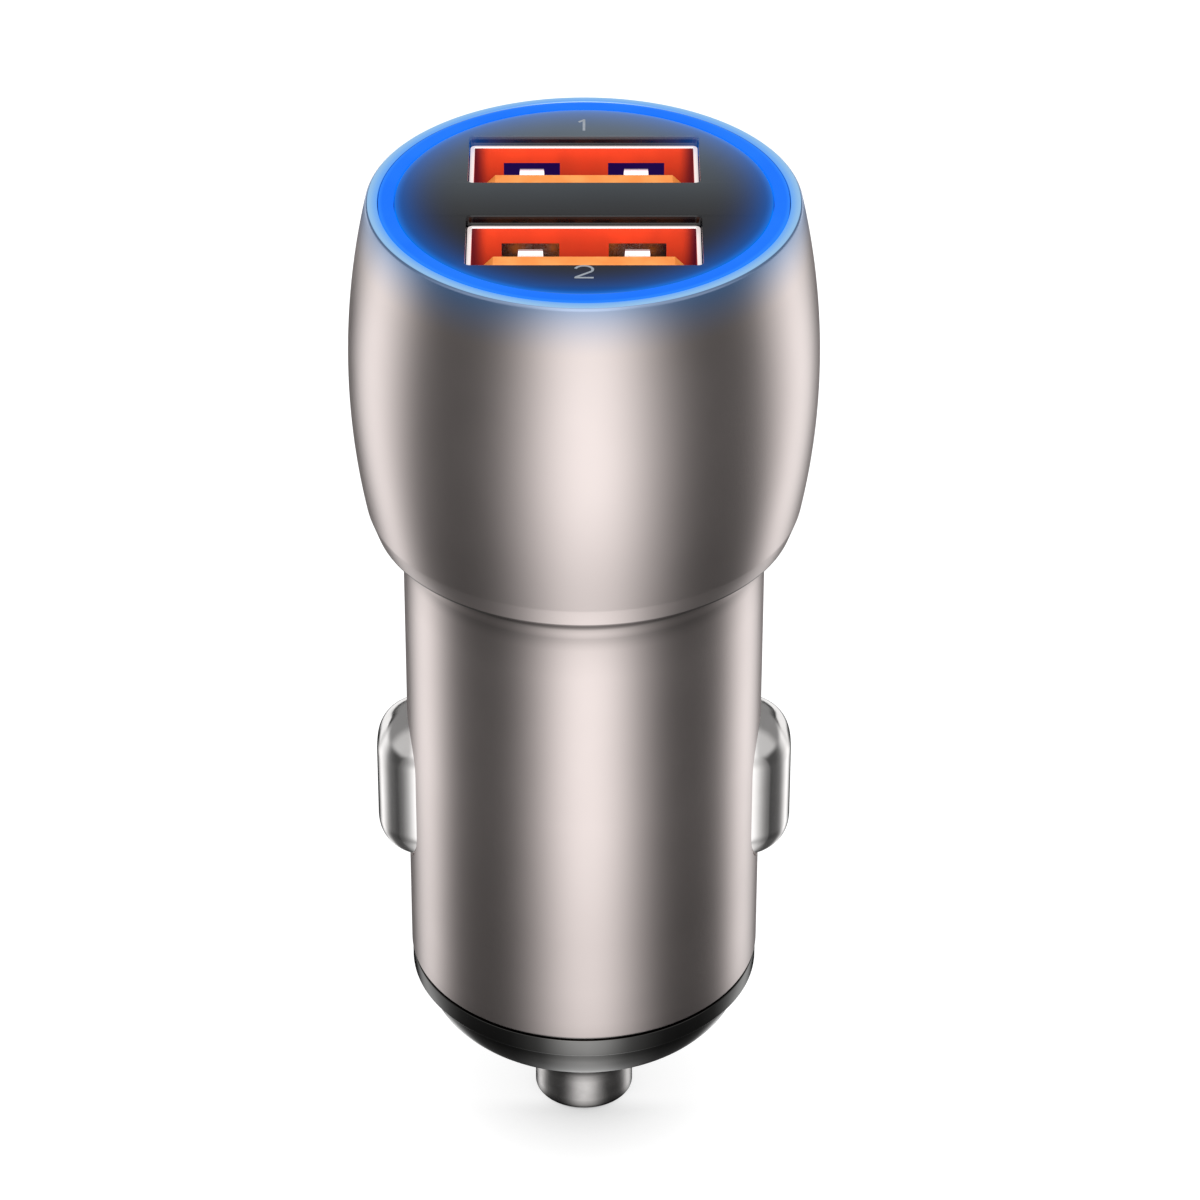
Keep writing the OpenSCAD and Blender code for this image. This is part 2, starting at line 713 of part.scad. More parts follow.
module input_fuse() color([0.85, 0.85, 0.8]) soldered_block(fuse_size, 0, fuse_z, 1);

module freewheel_diode() color([0.15, 0.15, 0.15]) soldered_block(diode_size, 0, diode_z, -1);

// Two capacitors on each side of the charge controllers
module filter_capacitors() color([0.7, 0.6, 0.45])
    for (side = [-1, 1], i = [0, 1])
        soldered_block(filter_size, side * (filter_x + i * (filter_size[0] + part_gap)), row_z, 1);

// Contacts

// The disc that the tip's spring presses on, with a tab soldered to the board
module positive_terminal() color([0.85, 0.7, 0.35]) {
    translate([0, 0, terminal_z]) cylinder(r = terminal_r, h = terminal_t);
    bar(tab_w / 2, -board_face, -board_face - terminal_t, terminal_z, tab_top_z);
}

module contact_spring() color([0.7, 0.7, 0.72]) {
    coil(tip_spring_r, tip_spring_wire, tip_spring_turns, flange_top_z + 0.02, terminal_z - 0.02);
}

module centre_contact() color([0.7, 0.68, 0.68]) {
    cylinder(r1 = tip_r - tip_bevel, r2 = tip_r, h = tip_bevel);
    translate([0, 0, tip_bevel]) cylinder(r = tip_r, h = flange_top_z - tip_bevel);
    translate([0, 0, flange_bottom_z]) cylinder(r = tip_flange_r, h = tip_flange_t);
    translate([0, 0, flange_bottom_z]) cylinder(r = pin_r, h = pin_top_z - flange_bottom_z);
}

// Half section of the nose: a spigot, a band, a rounded dome and a flared collar
module nose_outline() {
    dome_edge_r = band_r - band_step;
    dome_flat_r = dome_edge_r - dome_r;
    band_bevel = 0.2;
    translate([0, seam_z - cut]) square([spigot_r, spigot_z - seam_z + cut]);
    translate([0, seam_z - cut]) square([barrel_r - seam_depth, cut + seam_h]);
    translate([0, band_z]) polygon([
        [0, 0], [band_r - band_bevel, 0], [band_r, band_bevel], [band_r, band_h], [0, band_h]
    ]);
    translate([0, dome_z]) square([dome_flat_r, dome_r]);
    intersection() {
        translate([dome_flat_r, band_z]) circle(r = dome_r);
        translate([0, dome_z - cut]) square([band_r, dome_r + cut]);
    }
    difference() {
        translate([0, collar_z]) square([collar_r + collar_h, collar_h + nose_floor_t]);
        translate([collar_r + collar_h, collar_z]) circle(r = collar_h);
    }
}

module nose_cap() color([0.2, 0.2, 0.2]) {
    difference() {
        rotate_extrude() nose_outline();
        translate([0, 0, collar_z - cut]) cylinder(r = tip_bore_r, h = collar_h + nose_floor_t + 2 * cut);
        translate([0, 0, nose_floor_z]) cylinder(r = chamber_r, h = top_z);
    }
}

// A clip on the board's neck, on the right: a plate that the spring pushes on,
// a post inside the spring and two lugs that hold the board between them
module ground_terminal() {
    lug_len = 0.7;
    lug_h = 4;
    translate([board_neck_half, 0, slot_z]) {
        translate([0, -clip_w / 2, -clip_len / 2]) cube([clip_t, clip_w, clip_len]);
        rotate([0, 90, 0]) cylinder(r = post_r, h = post_x - board_neck_half);
        for (side = [-1, 1])
            translate([-lug_len, side * (board_face + clip_t / 2) - clip_t / 2, -lug_h / 2])
                cube([lug_len + clip_t / 2, clip_t, lug_h]);
    }
}

module ground_terminal_right() color([0.85, 0.7, 0.35]) ground_terminal();

module ground_terminal_left() color([0.85, 0.7, 0.35]) on_left() ground_terminal();

module ground_spring() {
    translate([0, 0, slot_z]) rotate([0, 90, 0])
        coil(side_spring_r, side_spring_wire, side_spring_turns, clip_x + 0.02, side_spring_end_x);
}

module ground_spring_right() color([0.7, 0.7, 0.72]) ground_spring();

module ground_spring_left() color([0.7, 0.7, 0.72]) on_left() ground_spring();

// The side contact's form, shrunk by a wall: a round crown, a sloping skirt and round corners
module contact_form(wall) {
    half_w = contact_half_w - wall;
    half_len = contact_half_len - wall;
    shoulder = crown_half - wall;
    reach = crest_x + cut;
    intersection() {
        translate([0, 0, slot_z - half_len]) linear_extrude(2 * half_len) {
            intersection() {
                translate([crest_x - crown_r, 0]) circle(r = crown_r - wall);
                translate([crease_x - wall / 2, -half_w]) square([crown_h + wall, 2 * half_w]);
            }
            polygon([
                [0, -half_w], [skirt_x - wall / 2, -half_w], [crease_x - wall / 2, -shoulder],
                [crease_x - wall / 2, shoulder], [skirt_x - wall / 2, half_w], [0, half_w]
            ]);
        }
        translate([0, reach, slot_z]) rotate([90, 0, 0]) linear_extrude(2 * reach)
            round_rect(2 * (crest_x - wall), 2 * half_len, contact_corner_r - wall);
        side_slab(2 * half_w, 2 * half_len, slot_corner_r - slot_gap - wall, 0, reach, slot_z);
    }
}

// A hollow pressed cap with a flange that stays behind the barrel's wall
module ground_contact() {
    difference() {
        union() {
            contact_form(0);
            intersection() {
                translate([0, 0, slot_z - flange_half_len]) cylinder(r = flange_r, h = 2 * flange_half_len);
                translate([0, -flange_half_w, slot_z - flange_half_len])
                    cube([barrel_r, 2 * flange_half_w, 2 * flange_half_len]);
            }
        }
        contact_form(contact_t);
        translate([0, 0, slot_z - flange_half_len - cut])
            cylinder(r = flange_r - contact_t, h = 2 * flange_half_len + 2 * cut);
    }
}

module ground_contact_right() color([0.85, 0.85, 0.85]) ground_contact();

module ground_contact_left() color([0.85, 0.85, 0.85]) on_left() ground_contact();

head_shell();
barrel_shell();
face_plate();
light_ring();
carrier_front();
carrier_rear();
main_board();
led_chips();
usb_shell_front();
usb_shell_rear();
usb_insulator_front();
usb_insulator_rear();
usb_contacts_front();
usb_contacts_rear();
inductor_core();
inductor_winding();
input_capacitor();
output_capacitor();
converter_chip();
converter_leads();
charge_controllers();
input_fuse();
freewheel_diode();
filter_capacitors();
positive_terminal();
contact_spring();
centre_contact();
nose_cap();
ground_terminal_left();
ground_terminal_right();
ground_spring_left();
ground_spring_right();
ground_contact_left();
ground_contact_right();
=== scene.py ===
# %% [markdown]
# # A car charger plug with two ports
# The plug is a metal head and a metal barrel, a dark glossy face with a glowing ring,
# two orange ports, two sprung contacts on the sides and a sprung tip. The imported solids
# are loaded first, as a fixed frame. Everything below is placed from their boxes, so a
# piece sits where the solid is without any fitting.

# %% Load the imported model
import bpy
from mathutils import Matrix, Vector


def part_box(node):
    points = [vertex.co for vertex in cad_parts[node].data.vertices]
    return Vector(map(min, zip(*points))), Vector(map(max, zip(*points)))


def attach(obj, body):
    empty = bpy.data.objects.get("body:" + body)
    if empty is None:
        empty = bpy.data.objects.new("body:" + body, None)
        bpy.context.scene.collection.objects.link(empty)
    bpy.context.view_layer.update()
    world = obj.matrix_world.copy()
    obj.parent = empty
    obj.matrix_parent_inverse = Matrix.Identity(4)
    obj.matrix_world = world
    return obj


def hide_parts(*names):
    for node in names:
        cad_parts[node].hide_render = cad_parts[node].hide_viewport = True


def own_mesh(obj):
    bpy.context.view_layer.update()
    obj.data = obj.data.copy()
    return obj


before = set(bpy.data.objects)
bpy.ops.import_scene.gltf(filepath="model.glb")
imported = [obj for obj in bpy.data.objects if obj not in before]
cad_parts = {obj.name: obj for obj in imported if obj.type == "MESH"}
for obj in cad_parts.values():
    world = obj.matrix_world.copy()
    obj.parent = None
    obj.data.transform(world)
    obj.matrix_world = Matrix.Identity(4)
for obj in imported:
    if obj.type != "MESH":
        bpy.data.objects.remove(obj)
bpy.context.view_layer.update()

# %% [markdown]
# ## Units and measuring
# A plug is measured in millimetres, and Blender counts in metres. All sizes here are
# written in millimetres, and one helper turns them into metres when a mesh is made.
# A second helper reads the lowest and highest corner of a solid, in millimetres.

# %% Units and boxes
import math
import bmesh
import bpy

MM = 0.001


def span(node):
    low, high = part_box(node)
    return [v / MM for v in low], [v / MM for v in high]


head_low, head_high = span("head_shell")
barrel_low, barrel_high = span("barrel_shell")
top_z = head_high[2]
print("whole height %.2f mm, barrel radius %.2f mm" % (top_z, barrel_high[0]))

# %% [markdown]
# ## Ways to make a mesh
# Most of this plug is turned on a lathe, so most meshes are an outline turned about the
# upright axis. The rest are outlines pushed straight, or rings of points joined one to
# the next. Small helpers for these three ways keep every piece short. A primitive with
# a bevel on it would be quicker, but its outline couldn't follow the real section.

# %% A mesh from points and faces
SHARP = math.radians(32)


def stand(name, data):
    thing = bpy.data.objects.new(name, data)
    bpy.context.collection.objects.link(thing)
    return thing


def settled_mesh(thing):
    depsgraph = bpy.context.evaluated_depsgraph_get()
    return bpy.data.meshes.new_from_object(thing.evaluated_get(depsgraph))


def build(name, points, faces):
    mesh = bpy.data.meshes.new(name)
    mesh.from_pydata([(x * MM, y * MM, z * MM) for x, y, z in points], [], faces)
    tidy = bmesh.new()
    tidy.from_mesh(mesh)
    bmesh.ops.remove_doubles(tidy, verts=tidy.verts, dist=1e-7)
    bmesh.ops.dissolve_degenerate(tidy, edges=tidy.edges, dist=1e-8)
    bmesh.ops.recalc_face_normals(tidy, faces=tidy.faces)
    tidy.to_mesh(mesh)
    tidy.free()
    piece = stand(name, mesh)
    shade(piece)
    return piece


def shade(piece):
    piece.data.shade_smooth()
    piece.data.set_sharp_from_angle(angle=SHARP)


def even_shading(piece):
    even = piece.modifiers.new("even shading", "WEIGHTED_NORMAL")
    even.keep_sharp = True


# %% [markdown]
# An outline is a list of flat points. `arc` gives its round stretches, and `ease`
# rounds each corner a little, because no real edge is perfectly sharp: the thin bright
# line along an eased edge is what makes a turned part look real.

# %% Outlines
def arc(centre, radius, start, end, steps):
    angles = [math.radians(start + (end - start) * i / steps) for i in range(steps + 1)]
    return [(centre[0] + radius * math.cos(a), centre[1] + radius * math.sin(a)) for a in angles]


def ease(outline, radius, steps=4, corner=math.radians(20)):
    eased = []
    for i, here in enumerate(outline):
        before = outline[i - 1]
        after = outline[(i + 1) % len(outline)]
        to_before = (before[0] - here[0], before[1] - here[1])
        to_after = (after[0] - here[0], after[1] - here[1])
        len_before = math.hypot(*to_before)
        len_after = math.hypot(*to_after)
        straight = (to_before[0] * to_after[0] + to_before[1] * to_after[1]) / (len_before * len_after)
        turn = math.pi - math.acos(max(-1.0, min(1.0, straight)))
        if turn < corner or here[0] == 0:
            eased.append(here)
            continue
        back = min(radius, 0.45 * len_before, 0.45 * len_after)
        start = [here[k] + to_before[k] * back / len_before for k in (0, 1)]
        end = [here[k] + to_after[k] * back / len_after for k in (0, 1)]
        for step in range(steps + 1):
            t = step / steps
            eased.append(tuple((1 - t) ** 2 * start[k] + 2 * t * (1 - t) * here[k] + t ** 2 * end[k]
                               for k in (0, 1)))
    return eased


def round_rect(width, height, radius, centre=(0, 0), steps=8):
    points = []
    for quarter, (sx, sy) in enumerate([(1, 1), (-1, 1), (-1, -1), (1, -1)]):
        middle = (centre[0] + sx * (width / 2 - radius), centre[1] + sy * (height / 2 - radius))
        points += arc(middle, radius, 90 * quarter, 90 * quarter + 90, steps)
    return points


# %% Turned, pushed and ring-built meshes
def spin(name, outline, steps):
    points = []
    faces = []
    count = len(outline)
    for step in range(steps):
        a = 2 * math.pi * step / steps
        points += [(r * math.cos(a), r * math.sin(a), z) for r, z in outline]
        here = step * count
        there = (step + 1) % steps * count
        for i in range(count):
            j = (i + 1) % count
            faces.append((here + i, there + i, there + j, here + j))
    return build(name, points, faces)


def place(axis, u, v, w):
    return {"X": (w, u, v), "Y": (u, w, v), "Z": (u, v, w)}[axis]


def push(name, outline, start, end, axis="Z"):
    count = len(outline)
    points = [place(axis, u, v, w) for w in (start, end) for u, v in outline]
    faces = [(i, (i + 1) % count, count + (i + 1) % count, count + i) for i in range(count)]
    faces += [tuple(range(count)), tuple(range(2 * count - 1, count - 1, -1))]
    return build(name, points, faces)


def rings(name, loops, closed=False, capped=False, open_rows=False):
    count = len(loops[0])
    points = [point for loop in loops for point in loop]
    faces = []
    for i in range(len(loops) if closed else len(loops) - 1):
        here = i * count
        there = (i + 1) % len(loops) * count
        for k in range(count - 1 if open_rows else count):
            m = (k + 1) % count
            faces.append((here + k, there + k, there + m, here + m))
    if capped:
        faces += [tuple(range(count)), tuple(len(points) - 1 - k for k in range(count))]
    return build(name, points, faces)


# %% [markdown]
# Openings are cut with an exact boolean, which keeps the rest of the mesh as it was.
# The result is settled at once, so the piece is a plain mesh with no cutter left about.

# %% Cutting, joining and softening
def settle(piece):
    mesh = settled_mesh(piece)
    piece.modifiers.clear()
    piece.data = mesh
    shade(piece)


def combine(piece, others, operation):
    for other in others:
        step = piece.modifiers.new(operation.lower(), "BOOLEAN")
        step.operation = operation
        step.solver = "EXACT"
        step.object = other
    settle(piece)
    for other in others:
        bpy.data.objects.remove(other)


def soften(piece, width):
    soft = piece.modifiers.new("soft edges", "BEVEL")
    soft.width = width * MM
    soft.segments = 3
    soft.limit_method = "ANGLE"
    soft.angle_limit = math.radians(40)
    settle(piece)


def gather(name, pieces):
    joined = bmesh.new()
    for piece in pieces:
        joined.from_mesh(piece.data)
        bpy.data.objects.remove(piece)
    mesh = bpy.data.meshes.new(name)
    joined.to_mesh(mesh)
    joined.free()
    whole = stand(name, mesh)
    shade(whole)
    return whole


def box(name, x, y, z):
    outline = [(x[0], y[0]), (x[1], y[0]), (x[1], y[1]), (x[0], y[1])]
    return push(name, outline, z[0], z[1])


def coat(piece, finish):
    piece.data.materials.clear()
    piece.data.materials.append(finish)


def fit(piece, finish, body, slot, *nodes):
    coat(piece, finish)
    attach(piece, body)
    if nodes:
        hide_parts(*nodes)
    print(piece.name, len(piece.data.polygons), "faces")


# %% [markdown]
# ## Ways to make a finish
# Each finish is a Principled shader with a few small additions: a colour that wanders a
# little, a roughness that wanders a little, and a fine bump. Coordinates are the
# object's own, in metres, so a grain of a tenth of a millimetre has a scale in the
# thousands. What is the same all over is typed on the shader's own sockets. One helper
# does both: it links a socket to a socket, and types a number or a colour.

# %% Making a finish and feeding its sockets
def join(value, socket):
    if isinstance(value, bpy.types.NodeSocket):
        socket.id_data.links.new(value, socket)
    else:
        socket.default_value = (*value, 1) if isinstance(value, tuple) else value


def shader_of(material):
    return material.node_tree.nodes["Principled BSDF"]


def feed(material, **sockets):
    for socket, value in sockets.items():
        join(value, shader_of(material).inputs[socket.replace("_", " ")])


def new_finish(name, colour, metallic, roughness, **sockets):
    material = bpy.data.materials.new(name)
    material.use_nodes = True
    feed(material, Base_Color=colour, Metallic=metallic, Roughness=roughness, **sockets)
    return material


def node(home, kind, **settings):
    tree = home.id_data if isinstance(home, bpy.types.NodeSocket) else home.node_tree
    made = tree.nodes.new(kind)
    for key, value in settings.items():
        setattr(made, key, value)
    return made


# %% Places, clouds and ramps
VECTOR_MATHS = "ShaderNodeVectorMath"


def own_place(material):
    return node(material, "ShaderNodeTexCoord").outputs["Object"]


def noise(material, scale, detail=3.0, stretch=(1, 1, 1)):
    stretched = node(material, "ShaderNodeMapping")
    stretched.inputs["Scale"].default_value = stretch
    join(own_place(material), stretched.inputs["Vector"])
    cloud = node(material, "ShaderNodeTexNoise")
    for socket, value in (("Scale", scale), ("Detail", detail), ("Vector", stretched.outputs[0])):
        join(value, cloud.inputs[socket])
    return cloud.outputs["Fac"]


def split(vector):
    apart = node(vector, "ShaderNodeSeparateXYZ")
    join(vector, apart.inputs["Vector"])
    return apart.outputs


def ranged(value, low, high, out_low=0.0, out_high=1.0, curve="SMOOTHSTEP"):
    ramp = node(value, "ShaderNodeMapRange", interpolation_type=curve)
    sockets = ("Value", "From Min", "From Max", "To Min", "To Max")
    for socket, number in zip(sockets, (value, low, high, out_low, out_high)):
        join(number, ramp.inputs[socket])
    return ramp.outputs["Result"]


def maths(operation, *values, kind="ShaderNodeMath"):
    home = values[1] if isinstance(values[0], float) else values[0]
    step = node(home, kind, operation=operation)
    for value, socket in zip(values, step.inputs):
        join(value, socket)
    return step.outputs[0]


def blend_colour(factor, first, second, kind="MIX"):
    home = first if isinstance(factor, float) else factor
    mixed = node(home, "ShaderNodeMix", data_type="RGBA", blend_type=kind)
    for socket, value in ((0, factor), (6, first), (7, second)):
        join(value, mixed.inputs[socket])
    return mixed.outputs[2]


def stepped(value, low, high, stops):
    ramp = node(value, "ShaderNodeValToRGB")
    join(ranged(value, low, high, curve="LINEAR"), ramp.inputs["Fac"])
    first, last = stops[0][0], stops[-1][0]
    for i, (place_on, level) in enumerate(stops):
        share = (place_on - first) / (last - first)
        stop = ramp.color_ramp.elements[i] if i < 2 else ramp.color_ramp.elements.new(share)
        stop.position = share
        stop.color = (level, level, level, 1)
    return ramp.outputs["Color"]


# %% Wandering colour and roughness, fine grain
def wander_roughness(material, scale, low, high, stretch=(1, 1, 1)):
    cloud = noise(material, scale, stretch=stretch)
    feed(material, Roughness=ranged(cloud, 0.3, 0.7, low, high))


def wander_colour(material, scale, first, second):
    colour = blend_colour(ranged(noise(material, scale), 0.3, 0.7), first, second)
    feed(material, Base_Color=colour)
    return colour


def fine_bump(material, height, distance, strength):
    bump = node(material, "ShaderNodeBump")
    for socket, value in (("Strength", strength), ("Distance", distance * MM), ("Height", height)):
        join(value, bump.inputs[socket])
    feed(material, Normal=bump.outputs["Normal"])


def grain(material, scale, distance, strength, stretch=(1, 1, 1)):
    fine_bump(material, noise(material, scale, 2.0, stretch), distance, strength)


def from_axis(material):
    x, y, z = split(own_place(material))
    flat = maths("ADD", maths("MULTIPLY", x, x), maths("MULTIPLY", y, y))
    return maths("SQRT", flat), x, y, z


# %% [markdown]
# ## The satin metal
# Head and barrel are a warm champagne-grey metal with a satin finish: bead-blasted,
# coated and lightly polished. It is fully metallic, with a roughness of a little over a
# quarter, so that it mirrors the studio in soft upright bands. The grain is a bump of
# less than a thousandth of a millimetre. Where head and barrel meet, and towards the
# foot of the barrel, the colour is multiplied by a ramp along the height: painted
# shade, where the metal sees less of the room. Just below the head's rim the colour is
# painted bluer and darker, and the metal glows a little, fading downwards over three
# millimetres: painted light from the blue ring, which real light in a flush ring can't
# reach. The rim's flat top glows blue as well, a painted reflection of the ring.

# %% Satin metal for the head and the barrel
METAL = (0.80, 0.712, 0.69)
METAL_DEEP = (0.79, 0.702, 0.68)


def satin_metal(name):
    material = new_finish(name, METAL, 1.0, 0.27)
    wander_colour(material, 160, METAL, METAL_DEEP)
    wander_roughness(material, 300, 0.277, 0.29)
    grain(material, 9000, 0.0008, 0.4)
    return material


def base_of(material):
    return shader_of(material).inputs["Base Color"].links[0].from_socket


# %% Painted light below the rim, and painted shade along the height
def painted_rim_light(material, depth):
    radius, _, _, z = from_axis(material)
    near = ranged(z, (top_z - depth) * MM, top_z * MM, curve="LINEAR")
    near = maths("POWER", near, 1.5)
    # Painted light: the colour turns bluer and darker towards the rim, which also paints a dark line
    # just under it.
    painted_blue_tone = blend_colour(near, base_of(material), (0.31, 0.375, 0.49))
    bevel_r = rim_r - rim_bevel
    on_rim = ranged(z, (top_z - 0.05) * MM, (top_z - 0.02) * MM)
    inside_edge = ranged(radius, (bevel_r + 0.02) * MM, (bevel_r + 0.06) * MM, 1.0, 0.0)
    on_rim = maths("MULTIPLY", on_rim, inside_edge)
    outward = ranged(radius, (rim_r - rim_w) * MM, bevel_r * MM)
    # Painted reflection of the ring on the rim's flat top, and a faint painted blue glow on the side
    # below it.
    painted_rim_reflection = blend_colour(outward, (0.08, 0.32, 0.8), (0.22, 0.44, 0.7))
    painted_side_glow = blend_colour(near, (0.0, 0.0, 0.0), (0.005, 0.045, 0.125))
    glow = blend_colour(on_rim, painted_side_glow, painted_rim_reflection)
    feed(material, Base_Color=painted_blue_tone, Emission_Color=glow, Emission_Strength=1.0)


def shade_along(material, *runs):
    stops = [(start + up, level) for start, run in runs for up, level in run]
    z = from_axis(material)[3]
    levels = stepped(z, stops[0][0] * MM, stops[-1][0] * MM, stops)
    feed(material, Base_Color=blend_colour(1.0, base_of(material), levels, "MULTIPLY"))


# %% The two satin metals
rim_w = 0.66
rim_bevel = 0.12
rim_r = span("light_ring")[1][0] + 0.05 + rim_w
neck_z = head_low[2]
head_metal = satin_metal("satin metal of the head")
# Painted shade: a fine dark line along the head's foot, where it meets the barrel.
shade_along(head_metal, (neck_z, [(0, 0.25), (0.13, 0.28), (0.22, 1.0), (1, 1.0)]))
painted_rim_light(head_metal, 2.8)
barrel_metal = satin_metal("satin metal of the barrel")
# Painted shade: darker towards the barrel's foot, and in soft bands just below the head.
above_foot = [(0, 0.7), (1.2, 0.79), (3.5, 0.84), (7, 0.85), (10.6, 0.91), (15.6, 1.0)]
below_neck = [(-4.7, 1.0), (-3.2, 0.93), (-2.74, 0.9), (-2.33, 0.79), (-2.13, 0.71), (-1.92, 0.66),
              (-1.72, 0.77), (-1.51, 0.82), (-1.31, 0.68), (-1.2, 0.36), (-1.1, 0.2), (0, 0.15)]
shade_along(barrel_metal, (barrel_low[2], above_foot), (neck_z, below_neck))
print("two satin metals")

# %% [markdown]
# ## The head
# The head is one turned shell. Its outside is a single shallow arc, widest half way
# down, with a fine bevel at the rim and a broad one at the foot. It is hollow, with a
# floor that the barrel comes up through. One outline, turned, gives all of it: arcs
# and straight runs as the lathe would cut them.

# %% The head's outline
ring_low, ring_high = span("light_ring")
head_bore_r = ring_high[0] + 0.05
belly_r = head_high[0]
belly_z = top_z - 10.6
bulge = belly_r - rim_r
arc_r = ((top_z - belly_z) ** 2 + bulge ** 2) / (2 * bulge)
head_z = head_low[2]
bevel_h = 1.35
edge_r = barrel_high[0] + 1.6
foot_z = head_z + bevel_h
head_floor_z = barrel_high[2]
print("the head's arc has a radius of %.1f mm" % arc_r)

# %% Turn the head
arc_top = math.degrees(math.asin((top_z - rim_bevel - belly_z) / arc_r))
arc_foot = math.degrees(math.asin((foot_z - belly_z) / arc_r))
head_side = arc((belly_r - arc_r, belly_z), arc_r, arc_foot, arc_top, 36)
head_outline = [(edge_r, head_z)] + head_side + [
    (rim_r - rim_bevel, top_z),
    (head_bore_r, top_z),
    (head_bore_r, head_floor_z),
    (barrel_high[0] + 0.025, head_floor_z),
    (barrel_high[0] + 0.025, head_z),
]
head = spin("head_metal_shell", ease(head_outline, 0.1, corner=math.radians(5)), 288)
even_shading(head)
fit(head, head_metal, "plug_body", "head_metal", "head_shell")

# %% [markdown]
# ## The barrel
# The barrel is a straight tube with a fine bevel below and a rounded slot on each side,
# which the side contacts stand in. The tube is turned, and then the slots are cut
# through it with rounded slabs. Its front stays plain.

# %% Turn the barrel and cut its slots
barrel_r = barrel_high[0]
barrel_wall = 0.8
barrel_bevel = 0.14
slot_w = 6.6
slot_len = 10.2
slot_corner_r = 3.0
contact_low, contact_high = span("ground_contact_right")
slot_z = (contact_low[2] + contact_high[2]) / 2

barrel_outline = [
    (barrel_r - barrel_wall, barrel_low[2]),
    (barrel_r - barrel_bevel, barrel_low[2]),
    (barrel_r, barrel_low[2] + barrel_bevel),
    (barrel_r, barrel_high[2]),
    (barrel_r - barrel_wall, barrel_high[2]),
]
barrel = spin("barrel_sleeve", ease(barrel_outline, 0.06), 288)
slot_outline = round_rect(slot_w, slot_len, slot_corner_r, (0, slot_z), 16)
slots = [push("slot", slot_outline, side * 6, side * 12, "X") for side in (-1, 1)]
combine(barrel, slots, "DIFFERENCE")
even_shading(barrel)
fit(barrel, barrel_metal, "plug_body", "barrel_metal", "barrel_shell")

# %% [markdown]
# ## The dark nose
# The nose is a separate dark, glossy piece: a band under the barrel, a step, a rounded
# dome and a small flared collar round the tip. Inside it is a chamber for the tip's
# spring. Its finish is a black nickel with a painted reflection in its colour: brighter
# where its wall faces the eye, and almost black where the wall turns away. A layer
# weight gives that, when its normal is the wall's own compass direction, so that the
# dome's slope doesn't count.

# %% Dark gloss of the nose
nose_finish = new_finish("black nickel of the nose", (0.2, 0.197, 0.192), 1.0, 0.12)
compass_way = node(nose_finish, "ShaderNodeCombineXYZ")
for socket, value in zip(("X", "Y"), from_axis(nose_finish)[1:3]):
    join(value, compass_way.inputs[socket])
facing = node(nose_finish, "ShaderNodeLayerWeight")
join(0.5, facing.inputs["Blend"])
join(maths("NORMALIZE", compass_way.outputs[0], kind=VECTOR_MATHS), facing.inputs["Normal"])
# Painted reflection: the colour falls to almost black where the wall turns away from the eye.
painted_reflection_falloff = ranged(facing.outputs["Facing"], 0.207, 0.252)
nickel = wander_colour(nose_finish, 220, (0.225, 0.222, 0.217), (0.19, 0.188, 0.185))
feed(nose_finish, Base_Color=blend_colour(painted_reflection_falloff, nickel, (0.085, 0.084, 0.082)))
wander_roughness(nose_finish, 900, 0.1, 0.15)
grain(nose_finish, 7000, 0.002, 0.4)

# %% Turn the nose
nose_low, nose_high = span("nose_cap")
collar_z = nose_low[2]
dome_z = collar_z + 1.0
dome_r = 3.35
band_z = dome_z + dome_r
band_r = nose_high[0]
seam_z = barrel_low[2] - 0.15
dome_flat_r = band_r - 0.65 - dome_r
chamber_r = 5.2
nose_floor_z = dome_z + 1.0
tip_bore_r = 3.08
collar_r = tip_bore_r + 0.65

nose_outline = (
    [(tip_bore_r, collar_z)]
    + arc((collar_r + 1.0, collar_z), 1.0, 180, 90, 8)
    + arc((dome_flat_r, band_z), dome_r, -90, 0, 20)
    + [(band_r - 0.2, band_z), (band_r, band_z + 0.2), (band_r, seam_z)]
    + [(barrel_r - 0.3, seam_z), (barrel_r - 0.3, barrel_low[2])]
    + [(9.65, barrel_low[2]), (9.65, nose_high[2]), (chamber_r, nose_high[2])]
    + [(chamber_r, nose_floor_z), (tip_bore_r, nose_floor_z)]
)
nose = spin("nose_dome", ease(nose_outline, 0.06), 256)
even_shading(nose)
fit(nose, nose_finish, "plug_body", "nose_gloss", "nose_cap")

# %% [markdown]
# ## The tip
# The tip is the contact that meets the bottom of the car's socket. It is a turned pin
# of nickelled brass with a flange that keeps it in, and a stem for its spring. Its grain
# is in rings left by the lathe. It is darker at its end, which is painted shade, and
# just below the nose, which is a painted reflection of the nose.

# %% Nickelled metal of the tip
tip_finish = new_finish("nickel of the tip", (0.62, 0.6, 0.59), 1.0, 0.2)
lathe_pitch = 0.12
lathe_turn = maths("MULTIPLY", from_axis(tip_finish)[0], 2 * math.pi / (lathe_pitch * MM))
lathe_rings = maths("SINE", lathe_turn)
tip_grain = maths("MULTIPLY", lathe_rings, noise(tip_finish, 6000, 2.0))
fine_bump(tip_finish, tip_grain, 0.003, 0.5)
wander_colour(tip_finish, 600, (0.64, 0.62, 0.61), (0.55, 0.53, 0.52))
wander_roughness(tip_finish, 1500, 0.16, 0.26)
tip_low, tip_high = span("centre_contact")
# Painted shade at the end, and a painted reflection of the nose as a dark band just below it.
shade_along(tip_finish, (tip_low[2], [
    (0, 0.02), (0.14, 0.04), (0.32, 0.42), (0.7, 0.8), (1.4, 0.84),
    (2.05, 0.9), (2.5, 0.6), (2.75, 0.2), (3.2, 0.18), (5.6, 0.2),
]))

